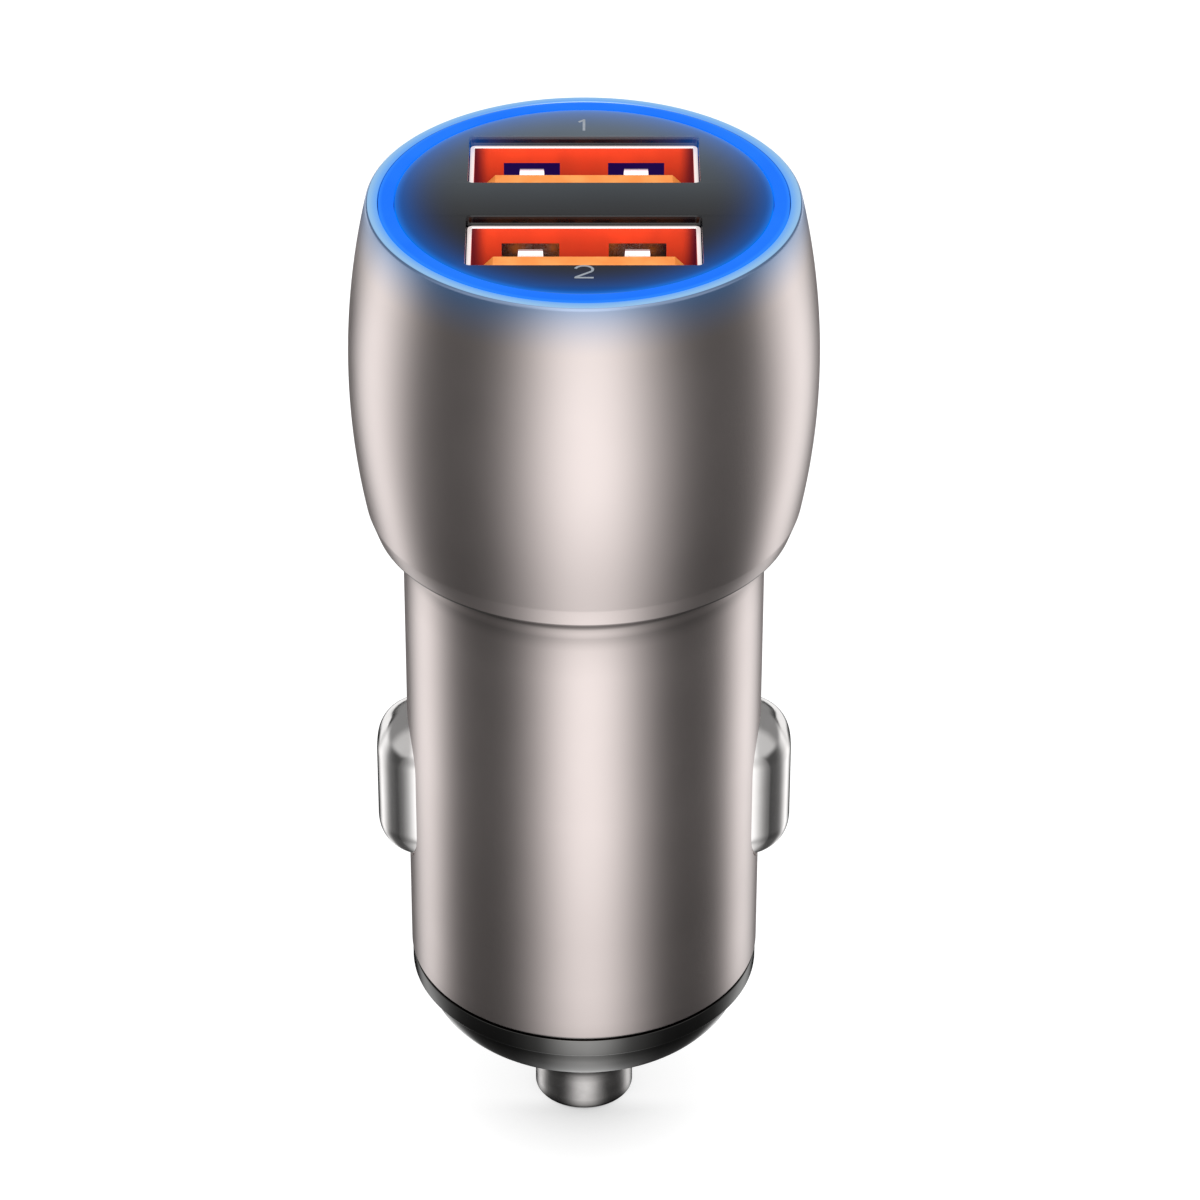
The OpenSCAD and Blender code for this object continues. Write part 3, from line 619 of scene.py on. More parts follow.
# %% Turn the tip
tip_r = 3.0
tip_bevel = 0.12
flange_r = tip_high[0]
flange_z = nose_floor_z + 0.05
flange_t = 1.0
pin_r = 2.2
tip_outline = [
    (0, tip_low[2]), (tip_r - tip_bevel, tip_low[2]), (tip_r, tip_low[2] + tip_bevel),
    (tip_r, flange_z), (flange_r, flange_z), (flange_r, flange_z + flange_t),
    (pin_r, flange_z + flange_t), (pin_r, tip_high[2]), (0, tip_high[2]),
]
tip = spin("tip_pin", ease(tip_outline, 0.12), 128)
even_shading(tip)
fit(tip, tip_finish, "tip", "tip_metal", "centre_contact")

# %% [markdown]
# ## The side contacts
# Each side contact is one pressed sheet of spring metal: a round crown that bends over
# at both ends like a handle, a steep skirt below it, and a flange that stays behind the
# barrel's wall. It could be cut from a block with booleans, but its corners would be
# hard to blend. Here a path, the contact's outline seen from the front, is drawn once
# for each step across. It shrinks by the crown's section, and towards the slot's
# rounded ends, so crown and skirt run round the ends as one surface. A solidify step
# gives the sheet its thickness. Other metal doesn't mirror the contact, because that
# would draw a hard dark line on the barrel beside the slot.

# %% Polished metal of the side contacts
contact_finish = new_finish("polished nickel of the side contacts", (0.9, 0.88, 0.87), 1.0, 0.15)
wander_colour(contact_finish, 500, (0.92, 0.9, 0.89), (0.87, 0.845, 0.83))
wander_roughness(contact_finish, 1200, 0.12, 0.19, (1, 1, 0.15))
grain(contact_finish, 5000, 0.0015, 0.5, (1, 1, 0.05))

# %% The section across a side contact
crest_x = contact_high[0]
crown_half = 2.8
crown_h = 1.25
skirt_drop = 1.12
skirt_w = 0.3
contact_half_w = slot_w / 2 - 0.1
contact_half_len = slot_len / 2 - 0.1
slot_end_r = slot_corner_r - 0.1
corner_r = 2.7
sheet_t = 0.5
flange_reach = barrel_r - barrel_wall - 0.05

hidden_foot = 0.8
crown_steps = 28
skirt_steps = 12
half_section = []
for k in range(crown_steps + 1):
    share = k / crown_steps
    half_section.append((crown_half * share, crown_h * share ** 3))
for k in range(1, skirt_steps + 1):
    share = k / skirt_steps
    half_section.append((crown_half + skirt_w * (1 - (1 - share) ** 1.8), crown_h + skirt_drop * share))
half_section.append((crown_half + skirt_w, crown_h + skirt_drop + hidden_foot))
section = [(-across, depth) for across, depth in half_section[:0:-1]] + half_section


def end_inset(across):
    past = max(abs(across) - (contact_half_w - slot_end_r), 0)
    return slot_end_r - math.sqrt(slot_end_r ** 2 - past ** 2)


print("a side contact's section has", len(section), "points")

# %% Press the two side contacts
def front_path(across, depth):
    end_depth = end_inset(across)
    round_x = max(corner_r - depth, 0.05)
    round_z = max(corner_r - end_depth, 0.05)
    middle_x = crest_x - depth - round_x
    middle_z = contact_half_len - end_depth - round_z
    quarter = arc((0, 0), 1, 0, 90, 18)
    lower = [(middle_x + round_x * c, -middle_z - round_z * s) for c, s in quarter]
    upper = [(x, -z) for x, z in lower[::-1]]
    root = (flange_reach - 1, contact_half_len - end_depth)
    return [root] + upper + lower + [(root[0], -root[1])]


def face_out(piece, side):
    if sum(face.normal[0] * face.area for face in piece.data.polygons) * side < 0:
        piece.data.flip_normals()


def pressed(name, side, loops, **way):
    turned = [[(side * x, side * y, z + slot_z) for x, y, z in loop] for loop in loops]
    piece = rings(name, turned, **way)
    face_out(piece, side)
    sheet_step = piece.modifiers.new("sheet", "SOLIDIFY")
    sheet_step.thickness = sheet_t * MM
    sheet_step.offset = -1
    settle(piece)
    return piece


def side_contact(name, side):
    cap_loops = [[(x, y, z) for x, z in front_path(y, depth)] for y, depth in section]
    cap = pressed("cap", side, cap_loops, open_rows=True)
    inner = round_rect(2 * crown_half - 0.6, 2 * contact_half_len - 3, 1.2, (0, 0), 12)
    outer = round_rect(2 * contact_high[1], contact_high[2] - contact_low[2], 1.2, (0, 0), 12)
    flange_loops = []
    for step in range(5):
        flat = [(a + (c - a) * step / 4, b + (d - b) * step / 4) for (a, b), (c, d) in zip(inner, outer)]
        flange_loops.append([(math.sqrt(flange_reach ** 2 - y ** 2), y, z) for y, z in flat])
    flange = pressed("flange", side, flange_loops)
    return gather(name, [cap, flange])


for side, hand in ((-1, "left"), (1, "right")):
    contact = side_contact("side_contact_" + hand + "_cap", side)
    contact.visible_glossy = False
    fit(contact, contact_finish, hand + "_contact", "contact_chrome", "ground_contact_" + hand)

# %% [markdown]
# ## The glossy face
# The face is a dark plate with two openings. Its gloss is a clear hard lacquer. Near
# its edge it glows in a soft blue band over a darker colour: painted light from the
# ring. Towards the back the colour is painted paler, a painted reflection of the paler
# wall of the room, and the darkening under the band is weaker there. The walls of the
# openings are nearly black. A flat curve with holes fills itself and rounds its own
# edges, which is the neatest way to make a plate, and it is turned into a mesh at once.
# The plate is a hundredth of a millimetre thinner than its solid, which leaves room for
# the printed port numbers.

# %% Lacquer of the face
face_finish = new_finish("dark lacquer of the face", (0.02, 0.021, 0.024), 0.0, 0.12,
                         Specular_IOR_Level=0.4)
wander_roughness(face_finish, 350, 0.1, 0.16)
grain(face_finish, 3000, 0.0006, 0.4)
face_radius, _, face_y, face_z = from_axis(face_finish)
# Painted reflection: the colour grows paler and bluer towards the back.
painted_rear_sheen = ranged(face_y, -4 * MM, 11 * MM)
face_tone = blend_colour(painted_rear_sheen, (0.019, 0.018, 0.018), (0.135, 0.17, 0.2))
cloudy = ranged(noise(face_finish, 120, 2.0), 0.3, 0.7, 0.88, 1.0)
face_tone = blend_colour(cloudy, (0.01, 0.01, 0.012), face_tone)
on_top = ranged(face_z, (top_z - 0.3) * MM, (top_z - 0.15) * MM)
face_tone = blend_colour(on_top, (0.004, 0.004, 0.005), face_tone)

# %% Painted ring light on the face
plate_low, plate_high = span("face_plate")
plate_r = plate_high[0]


def fade_in(width, power, strength):
    near = ranged(face_radius, (plate_r - width) * MM, plate_r * MM, curve="LINEAR")
    return maths("MULTIPLY", maths("POWER", near, power), strength)


# Painted light: a blue glow near the plate's edge, over a darker colour that is weaker at the back.
painted_ring_glow = maths("ADD", fade_in(4.4, 3.6, 0.62), fade_in(0.5, 2.0, 0.4))
painted_glow_darkening = maths("MULTIPLY", maths("POWER", painted_ring_glow, 0.7), 1.8)
painted_glow_darkening = maths("MINIMUM", painted_glow_darkening, 1.0)
paler_rear = maths("SUBTRACT", 1.0, maths("MULTIPLY", painted_rear_sheen, 0.85))
painted_glow_darkening = maths("MULTIPLY", painted_glow_darkening, paler_rear)
face_tone = blend_colour(painted_glow_darkening, face_tone, (0.0, 0.002, 0.01))
feed(face_finish, Base_Color=face_tone, Emission_Color=(0.0, 0.15, 0.68), Emission_Strength=painted_ring_glow)

# %% Make the plate
port_w = 13.0
port_h = 5.45
port_corner_r = 0.3
port_off = 4.65
ink_t = 0.01
plate_edge = 0.1


def plate_curve(name, outlines, low, high, edge):
    curve = bpy.data.curves.new(name, "CURVE")
    curve.dimensions = "2D"
    curve.fill_mode = "BOTH"
    for outline in outlines:
        loop = curve.splines.new("POLY")
        loop.points.add(len(outline) - 1)
        for point, (x, y) in zip(loop.points, outline):
            point.co = (x * MM, y * MM, 0, 1)
        loop.use_cyclic_u = True
    curve.extrude = ((high - low) / 2 - edge) * MM
    curve.bevel_depth = edge * MM
    curve.bevel_resolution = 3
    curve.offset = -edge * MM
    shape = stand(name, curve)
    mesh = settled_mesh(shape)
    points = [(v.co.x / MM, v.co.y / MM, v.co.z / MM + (low + high) / 2) for v in mesh.vertices]
    faces = [tuple(face.vertices) for face in mesh.polygons]
    bpy.data.objects.remove(shape)
    return build(name, points, faces)


openings = [round_rect(port_w, port_h, port_corner_r, (0, side * port_off), 6) for side in (-1, 1)]
plate_outline = arc((0, 0), plate_r, 0, 360 - 360 / 256, 255)
plate = plate_curve("face_gloss_plate", [plate_outline] + openings,
                    plate_low[2], top_z - ink_t, plate_edge)
even_shading(plate)
fit(plate, face_finish, "plug_body", "face_gloss", "face_plate")

# %% [markdown]
# ## The port numbers
# Each port has a small pale number beside it, printed in grey ink with a fine line. A
# number is two ribbons, drawn along a few points and pushed up to a film that ends level
# with the rim. The second ribbon ends a little lower, so that the two never lie in one
# plane where they cross.

# %% Print the port numbers
ink_finish = new_finish("grey ink", (0.36, 0.4, 0.46), 0.0, 0.45)
wander_colour(ink_finish, 2500, (0.38, 0.42, 0.48), (0.3, 0.34, 0.39))
wander_roughness(ink_finish, 2500, 0.4, 0.55)
number_h = 1.34
number_places = (("1", 8.65), ("2", -8.2))
ink_line = 0.15
ink_layer = 0.002


def ribbon(points, width):
    left = []
    right = []
    for i, here in enumerate(points):
        before = points[max(i - 1, 0)]
        after = points[min(i + 1, len(points) - 1)]
        along = (after[0] - before[0], after[1] - before[1])
        length = math.hypot(*along)
        out = (-along[1] / length * width / 2, along[0] / length * width / 2)
        left.append((here[0] + out[0], here[1] + out[1]))
        right.append((here[0] - out[0], here[1] - out[1]))
    return left + right[::-1]


half = number_h / 2
bowl = arc((0, half - 0.4), 0.4, 165, -35, 14)
digits = {
    "1": [[(0, -half), (0, half)], [(0.04, half - 0.02), (-0.3, half - 0.32)]],
    "2": [[(x * 1.2, y) for x, y in bowl] + [(-0.45, -half + 0.1)],
          [(-0.52, -half + 0.05), (0.52, -half + 0.05)]],
}
for digit, y in number_places:
    strokes = []
    for layer, stroke in enumerate(digits[digit]):
        line = ribbon([(px, py + y) for px, py in stroke], ink_line)
        strokes.append(push("stroke", line, top_z - ink_t, top_z - ink_layer * layer))
    fit(gather("port_number_" + digit, strokes), ink_finish, "plug_body", "face_gloss")

# %% [markdown]
# ## The glowing ring
# A clear light guide runs round the plate, lit by four lamps below it. Only its narrow
# top shows, evenly blue, a little paler along its outer edge: a painted reflection of
# the rim throwing the light back.

# %% Light guide
ring_finish = new_finish("blue light guide", (0.004, 0.02, 0.09), 0.0, 0.3, Specular_IOR_Level=0.1)
ring_radius, _, _, ring_height = from_axis(ring_finish)
# Painted reflection: the glow is paler along the outer edge, next to the rim.
outward = ranged(ring_radius, (ring_high[0] - 0.25) * MM, ring_high[0] * MM)
uneven = ranged(noise(ring_finish, 260, 2.0), 0.3, 0.7)
ring_tone = blend_colour(uneven, (0.004, 0.16, 0.95), (0.008, 0.18, 1.0))
ring_tone = blend_colour(outward, ring_tone, (0.02, 0.22, 1.0))
lit_top = ranged(ring_height, (top_z - 0.5) * MM, (top_z - 0.1) * MM)
ring_tone = blend_colour(lit_top, (0.012, 0.0015, 0.055), ring_tone)
feed(ring_finish, Emission_Color=ring_tone, Emission_Strength=1.0)

# %% Turn the light ring
ring_in_r = head_bore_r - 0.9
ring_outline = [
    (ring_in_r - 0.6, ring_low[2]), (ring_high[0], ring_low[2]), (ring_high[0], top_z),
    (ring_in_r, top_z), (ring_in_r, plate_low[2]), (ring_in_r - 0.6, plate_low[2]),
]
ring = spin("glow_ring", ease(ring_outline, 0.05), 256)
even_shading(ring)
fit(ring, ring_finish, "plug_body", "light_guide", "light_ring")

# %% [markdown]
# ## The port shells
# Each port is a sleeve of bright tinned steel, folded from sheet a quarter of a
# millimetre thick. Its edge shows as a fine white frame in the opening, a painted
# highlight that glows. Two windows in its rear wall hold spring fingers that grip the
# plug, and where the fingers show in the windows they glow pale pink, also a painted
# highlight. Deep inside, the inner faces have a finish of their own that glows: a
# painted reflection of the orange tongue, warm orange at the top, going down to a dark
# red, and darker towards the side walls, both darkenings painted shade.

# %% Tinned steel
port_steel = new_finish("tinned steel", (0.8, 0.79, 0.78), 1.0, 0.22)
wander_colour(port_steel, 900, (0.84, 0.82, 0.81), (0.74, 0.72, 0.71))
wander_roughness(port_steel, 1800, 0.18, 0.3)
grain(port_steel, 5200, 0.002, 0.5, (1, 1, 0.1))
steel_z = from_axis(port_steel)[3]
shell_low, shell_high = span("usb_shell_rear")
shell_top_z = shell_high[2]
# Painted highlight: the top edge of the shell glows near white.
on_edge = ranged(steel_z, (shell_top_z - 0.09) * MM, (shell_top_z - 0.03) * MM)
painted_edge_glint = maths("MULTIPLY", on_edge, 0.75)
feed(port_steel, Emission_Color=(1.0, 0.88, 0.86), Emission_Strength=painted_edge_glint)

# Painted highlight: a glowing copy of the steel for the fingers seen in the windows.
painted_glint_steel = new_finish("steel finger tips with painted glow", (0.85, 0.78, 0.78), 1.0, 0.25)
wander_colour(painted_glint_steel, 900, (0.86, 0.78, 0.79), (0.74, 0.66, 0.66))
wander_roughness(painted_glint_steel, 1800, 0.2, 0.3)
feed(painted_glint_steel, Emission_Color=(1.0, 0.72, 0.72), Emission_Strength=0.55)

# %% Painted orange reflection inside a port
painted_orange_reflection = new_finish("painted orange reflection in the steel", (0.5, 0.12, 0.06), 0.55, 0.35)
_, shell_inner_x, _, shell_inner_z = from_axis(painted_orange_reflection)
# Painted reflection of the orange tongue, with painted shade: dark red deeper down and near black at the
# side walls, and a glow of the same colour.
height_in = ranged(shell_inner_z, (shell_top_z - 4.2) * MM, (shell_top_z - 0.2) * MM)
painted_reflection_tone = blend_colour(height_in, (0.1, 0.008, 0.008), (0.9, 0.078, 0.026))
sideways = maths("ABSOLUTE", shell_inner_x)
at_side = ranged(sideways, 5.3 * MM, 6.25 * MM)
painted_reflection_tone = blend_colour(at_side, painted_reflection_tone, (0.07, 0.004, 0.018))
patchy = ranged(noise(painted_orange_reflection, 420, 2.0, (1, 1, 0.25)), 0.3, 0.7, 0.0, 0.3)
painted_reflection_tone = blend_colour(patchy, painted_reflection_tone, (0.3, 0.03, 0.02))
feed(painted_orange_reflection, Base_Color=painted_reflection_tone, Emission_Color=painted_reflection_tone, Emission_Strength=0.55)
grain(painted_orange_reflection, 4200, 0.002, 0.5, (1, 1, 0.1))

# %% Fold the port shells
shell_w = shell_high[0] * 2
shell_h = port_h - 0.1
sheet = 0.25
window_w = 3.2
window_h = 5.0
window_off = 2.97
window_depth = 1.0
window_top_z = shell_top_z - window_depth


def shell_sleeve(y):
    rolled_edge = [(0, -0.06), (0.02, -0.02), (0.06, 0), (0.19, 0), (0.23, -0.02), (sheet, -0.06)]
    wall = [(0, shell_low[2])] + [(inset, shell_top_z + up) for inset, up in rolled_edge]
    loops = []
    for inset, z in wall + [(sheet, shell_low[2])]:
        radius = max(port_corner_r - inset, 0.07)
        outline = round_rect(shell_w - 2 * inset, shell_h - 2 * inset, radius, (0, y), 6)
        loops.append([(px, py, z) for px, py in outline])
    return rings("sleeve", loops, closed=True)


def spring_finger(x, wall_y):
    lean = 0.4
    half = 0.8
    path = [(0, -0.2), (0, 0), (-lean * 0.55, 0.38), (-lean * 0.95, 0.66), (-lean, 0.7),
            (-lean * 0.9, 0.75), (-0.12, 0.87), (0, 0.9)]
    loops = []
    for lean_in, share in path:
        taper = half - 0.12 * max(share - 0.7, 0) / 0.2
        y = wall_y + lean_in
        z = window_top_z - window_h + share * window_h
        loops.append([(x - taper, y, z), (x + taper, y, z), (x + taper, y + sheet * 0.8, z),
                      (x - taper, y + sheet * 0.8, z)])
    return rings("finger", loops, capped=True)


def port_shell(name, side):
    y = side * port_off
    rear_wall_y = y + shell_h / 2 - sheet
    sleeve = shell_sleeve(y)
    through = (rear_wall_y - 0.5, rear_wall_y + 0.8)
    windows = [box("window", (x - window_w / 2, x + window_w / 2), through,
                   (window_top_z - window_h, window_top_z)) for x in (-window_off, window_off)]
    combine(sleeve, windows, "DIFFERENCE")
    parts = [sleeve] + [spring_finger(x, rear_wall_y) for x in (-window_off, window_off)]
    board_wall_y = side * (port_off - shell_h / 2)
    for hand in (-1, 1):
        middle = hand * (shell_w / 2 - 1.0)
        near, far = sorted((board_wall_y + side * 0.1, side * 0.8))
        parts.append(box("tab", (middle - 0.6, middle + 0.6), (near, far),
                         (shell_low[2], shell_low[2] + sheet)))
    return gather(name, parts)


# The shell's inner faces get the painted orange reflection, and the finger faces in the windows the
# painted highlight.
def paint_port_light(shell, y):
    for finish in (painted_orange_reflection, painted_glint_steel):
        shell.data.materials.append(finish)
    bend_z = window_top_z - 0.3 * window_h
    inner_half = (shell_w / 2 - sheet + 0.01, shell_h / 2 - sheet + 0.01)
    for face in shell.data.polygons:
        x = abs(face.center.x / MM)
        from_middle = abs(face.center.y / MM - y)
        z = face.center.z / MM
        if x < inner_half[0] and from_middle < inner_half[1] and z < shell_top_z - 0.04:
            face.material_index = 1
        if abs(x - window_off) < window_w / 2 - 0.1 and bend_z < z < window_top_z - 0.2:
            face.material_index = 2


for side, place_name in ((-1, "front"), (1, "rear")):
    shell = port_shell("port_steel_" + place_name, side)
    fit(shell, port_steel, "plug_body", "port_steel", "usb_shell_" + place_name)
    paint_port_light(shell, side * port_off)

# %% [markdown]
# ## The orange tongues
# A moulded tongue stands in each port and carries the four gilt strips. It is a bright
# orange nylon, with bevelled corners so that a plug finds its way in. A base block
# below it closes the shell. The moulding is one solid, so its blocks are joined by
# booleans and all its edges softened together. Nylon lets a little light through, and
# a faint orange glow stands in for that: painted light that lifts its colour.

# %% Orange nylon
orange_nylon = new_finish("orange nylon", (1.0, 0.36, 0.08), 0.0, 0.38)
wander_colour(orange_nylon, 700, (1.0, 0.39, 0.095), (0.93, 0.28, 0.05))
wander_roughness(orange_nylon, 1600, 0.32, 0.46)
grain(orange_nylon, 6500, 0.003, 0.5)
# Painted light: a faint orange glow stands in for light through the nylon.
feed(orange_nylon, Emission_Color=(1.0, 0.33, 0.06), Emission_Strength=0.18)

# %% Mould the tongues
tongue_top_z = top_z - 0.95
tongue_half = shell_w / 2 - sheet - 0.7
tongue_t = 1.84
tongue_back = 0.2
tongue_bevel = 0.5
base_low_z = span("usb_insulator_rear")[0][2]
base_top_z = shell_low[2] + 2.0
strip_places = (-3.5, -1, 1, 3.5)


def port_tongue(name, side):
    y = side * port_off
    face_outline = [
        (-tongue_half, base_top_z - 0.5), (tongue_half, base_top_z - 0.5),
        (tongue_half, tongue_top_z - tongue_bevel), (tongue_half - tongue_bevel, tongue_top_z),
        (tongue_bevel - tongue_half, tongue_top_z), (-tongue_half, tongue_top_z - tongue_bevel),
    ]
    tongue = push(name, face_outline, y - tongue_back - tongue_t, y - tongue_back, "Y")
    half_w = shell_w / 2 - sheet - 0.05
    half_h = shell_h / 2 - sheet - 0.05
    base = box("base", (-half_w, half_w), (y - half_h, y + half_h), (base_low_z, base_top_z))
    near, far = sorted((side * 0.8, side * (port_off - half_h + 0.05)))
    foot = box("foot", (-half_w + 2, half_w - 2), (near, far), (base_low_z, shell_low[2]))
    combine(tongue, [base, foot], "UNION")
    groove_z = (base_low_z - 1, base_top_z + 0.5)
    grooves = [box("groove", (x - 0.52, x + 0.52), (y - 0.22, y + 0.02), groove_z)
               for x in strip_places]
    combine(tongue, grooves, "DIFFERENCE")
    soften(tongue, 0.07)
    return tongue


for side, place_name in ((-1, "front"), (1, "rear")):
    tongue = port_tongue("tongue_" + place_name, side)
    fit(tongue, orange_nylon, "plug_body", "tongue_plastic", "usb_insulator_" + place_name)

# %% [markdown]
# ## The springs
# Three coil springs push the contacts out. Each is a round wire swept along a helix. A
# spring is the one piece here that changes its shape when the plug goes into a socket,
# so each gets a mesh of its own.

# %% Spring steel
spring_steel = new_finish("spring steel", (0.55, 0.55, 0.56), 1.0, 0.24)
wander_colour(spring_steel, 1800, (0.6, 0.6, 0.61), (0.45, 0.45, 0.46))
wander_roughness(spring_steel, 2500, 0.18, 0.32)
grain(spring_steel, 9000, 0.003, 0.5)

# %% Wind the springs
def coil(name, radius, wire, turns, start, end, axis):
    steps = 30
    sides = 10
    loops = []
    count = turns * steps
    rise = end - start - math.copysign(wire, end - start)
    first = start + math.copysign(wire / 2, end - start)
    for i in range(count + 1):
        a = 2 * math.pi * i / steps
        loop = []
        for k in range(sides):
            b = 2 * math.pi * k / sides
            r = radius + wire / 2 * math.cos(b)
            along = first + rise * i / count + wire / 2 * math.sin(b)
            loop.append((r * math.cos(a), r * math.sin(a), along))
        loops.append(loop)
    placed = [[(x, y, z) if axis == "Z" else (z, y, x + slot_z) for x, y, z in loop] for loop in loops]
    return rings(name, placed, capped=True)


tip_spring_low, tip_spring_high = span("contact_spring")
tip_coil = coil("tip_coil", 2.7, 0.5, 5, tip_spring_low[2], tip_spring_high[2], "Z")
fit(tip_coil, spring_steel, "plug_body", "spring_steel", "contact_spring")
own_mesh(tip_coil)

side_spring_low, side_spring_high = span("ground_spring_right")
for side, hand in ((-1, "left"), (1, "right")):
    side_coil = coil("side_coil_" + hand, 1.25, 0.35, 6, side * side_spring_low[0],
                     side * side_spring_high[0], "X")
    fit(side_coil, spring_steel, "plug_body", "spring_steel", "ground_spring_" + hand)
    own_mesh(side_coil)

# %% [markdown]
# ## Finishes of what is inside
# The board, its parts and the carrier are already the right shape as solids, and they
# are seen only through the openings or when the plug is taken apart. They keep their
# meshes and get real finishes: moulded nylon, green laminate with a weave, ferrite,
# enamelled wire, epoxy with a fine grain, tin and brass.

# %% Laminate of the board
laminate = new_finish("green laminate", (0.02, 0.16, 0.07), 0.0, 0.35)
wander_colour(laminate, 400, (0.02, 0.17, 0.075), (0.015, 0.12, 0.05))
weave = node(laminate, "ShaderNodeTexWave", wave_type="BANDS", bands_direction="DIAGONAL")
for socket, value in (("Scale", 900), ("Distortion", 1.5), ("Vector", own_place(laminate))):
    join(value, weave.inputs[socket])
fine_bump(laminate, weave.outputs["Fac"], 0.006, 0.5)
coat(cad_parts["main_board"], laminate)

# %% Moulded and plated parts: two tones, metallic, roughness and grain
INSIDE = [
    ("dark nylon of the carrier", (0.03, 0.03, 0.038), (0.045, 0.043, 0.055), 0.0, 0.5, 0.006,
     "carrier_front carrier_rear"),
    ("ferrite", (0.05, 0.05, 0.055), (0.08, 0.08, 0.085), 0.1, 0.55, 0.012, "inductor_core"),
    ("black epoxy", (0.022, 0.022, 0.024), (0.035, 0.035, 0.037), 0.0, 0.45, 0.008,
     "converter_chip charge_controllers freewheel_diode"),
    ("white ceramic", (0.7, 0.69, 0.63), (0.6, 0.58, 0.52), 0.0, 0.4, 0.006, "input_fuse"),
    ("tan ceramic", (0.42, 0.3, 0.17), (0.5, 0.38, 0.24), 0.0, 0.4, 0.006, "filter_capacitors"),
    ("blue sleeve", (0.02, 0.03, 0.12), (0.03, 0.045, 0.16), 0.0, 0.3, 0.004, "input_capacitor"),
    ("bare aluminium can", (0.72, 0.72, 0.73), (0.62, 0.62, 0.64), 1.0, 0.28, 0.004, "output_capacitor"),
    ("lamp lens", (0.75, 0.8, 0.9), (0.6, 0.68, 0.85), 0.0, 0.25, 0.003, "led_chips"),
    ("tin", (0.68, 0.68, 0.69), (0.56, 0.56, 0.57), 1.0, 0.35, 0.004, "converter_leads"),
    ("gilt brass", (0.86, 0.6, 0.24), (0.76, 0.5, 0.18), 1.0, 0.25, 0.003,
     "usb_contacts_front usb_contacts_rear"),
    ("brass", (0.74, 0.55, 0.27), (0.62, 0.44, 0.2), 1.0, 0.3, 0.005,
     "positive_terminal ground_terminal_left ground_terminal_right"),
]
for finish_name, first, second, metallic, roughness, distance, node_names in INSIDE:
    inner_finish = new_finish(finish_name, first, metallic, roughness)
    wander_colour(inner_finish, 900, first, second)
    wander_roughness(inner_finish, 1800, roughness * 0.8, roughness * 1.2)
    fine_bump(inner_finish, noise(inner_finish, 6000), distance, 0.6)
    for node_name in node_names.split():
        coat(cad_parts[node_name], inner_finish)
    if finish_name == "lamp lens":
        feed(inner_finish, Emission_Color=(0.1, 0.35, 1.0), Emission_Strength=1.0)

# %% Enamelled wire
copper = new_finish("enamelled copper wire", (0.78, 0.33, 0.14), 1.0, 0.3)
wander_colour(copper, 1400, (0.82, 0.36, 0.16), (0.62, 0.24, 0.09))
turns = node(copper, "ShaderNodeTexWave", wave_type="BANDS", bands_direction="Y", wave_profile="SIN")
for socket, value in (("Scale", 700), ("Vector", own_place(copper))):
    join(value, turns.inputs[socket])
fine_bump(copper, turns.outputs["Fac"], 0.09, 1.0)
coat(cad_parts["inductor_winding"], copper)
print(len(INSIDE) + 2, "finishes inside")

# %% [markdown]
# ## The studio
# A satin cylinder shows little of itself: it shows the room. A turned metal part is
# photographed between a bright panel in front, two dark flags at the sides and bright
# walls further round, and the bands on it are their mirror images. The room here is
# the world: a ramp over the compass direction gives panels and flags, for mirrored
# rays only. The panels lean, as if each were aimed half way between its own place and
# the camera's, so a band keeps its place on the metal where the metal slopes. A second
# ramp dims what sloping metal mirrors. Matt surfaces get one plain level, so their
# colours come out as written, and the camera sees white.

# %% Panels and flags round the plug
STUDIO = [
    (0, 1.34), (12, 1.2), (24, 0.78), (33, 0.44), (43, 0.21), (52, 0.1), (64, 0.077), (80, 0.09),
    (92, 0.165), (101, 0.39), (112, 0.82), (123, 1.18), (132, 1.16), (140, 0.82), (145, 0.5),
    (150, 0.24), (154, 0.1), (158, 0.02), (163, 0.0), (180, 0.0),
]
TILT = [
    (-90, 0.08), (-52, 0.08), (-42, 0.7), (-30, 0.9), (-19, 0.9), (-14, 0.66), (-10.5, 0.56),
    (-8, 0.64), (-4, 0.85), (1, 1.0), (6, 0.98), (14, 0.84), (90, 0.84),
]
VIEW_UP = math.sin(math.radians(33.5))
VIEW_UP_LEAST = math.sin(math.radians(28))
VIEW_UP_MOST = math.sin(math.radians(39.5))
PANEL_TURN = math.radians(1.3)
HIGH_LEVEL = 0.25
HIGH_FRONT_LEVEL = 1.7
BACK_LEVEL = 0.95
PLAIN_LEVEL = 0.85

world = bpy.data.worlds.new("studio")
world.use_nodes = True
world.cycles.sampling_method = "NONE"
bpy.context.scene.world = world
backdrop = world.node_tree.nodes["Background"]

# %% Half way between the ray and the camera
direction = node(world, "ShaderNodeTexCoord").outputs["Generated"]
way_x, way_y, way_z = split(direction)
steepness = maths("MULTIPLY", way_z, -1.0)
steepness = maths("MINIMUM", maths("MAXIMUM", steepness, VIEW_UP_LEAST), VIEW_UP_MOST)
glancing = ranged(way_y, 0.1, 0.5)
view_up = maths("SUBTRACT", steepness, VIEW_UP)
view_up = maths("ADD", maths("MULTIPLY", view_up, glancing), VIEW_UP)
view_back = maths("SUBTRACT", 1.0, maths("MULTIPLY", view_up, view_up))
view_back = maths("MULTIPLY", maths("SQRT", view_back), -1.0)
to_camera = node(world, "ShaderNodeCombineXYZ")
join(view_back, to_camera.inputs["Y"])
join(view_up, to_camera.inputs["Z"])
leaning = maths("ADD", direction, to_camera.outputs["Vector"], kind=VECTOR_MATHS)
half_x, half_y, half_z = split(maths("NORMALIZE", leaning, kind=VECTOR_MATHS))

# %% [markdown]
# The lean gives a compass turn and a tilt for each mirrored ray, and the two ramps give
# its level. Shallow rays to the back meet a bright wall, which lights the corners of the
# side contacts. Steep rays upwards meet a dim ceiling, with one bright panel over the
# camera that lights the front of the rim's bevel.

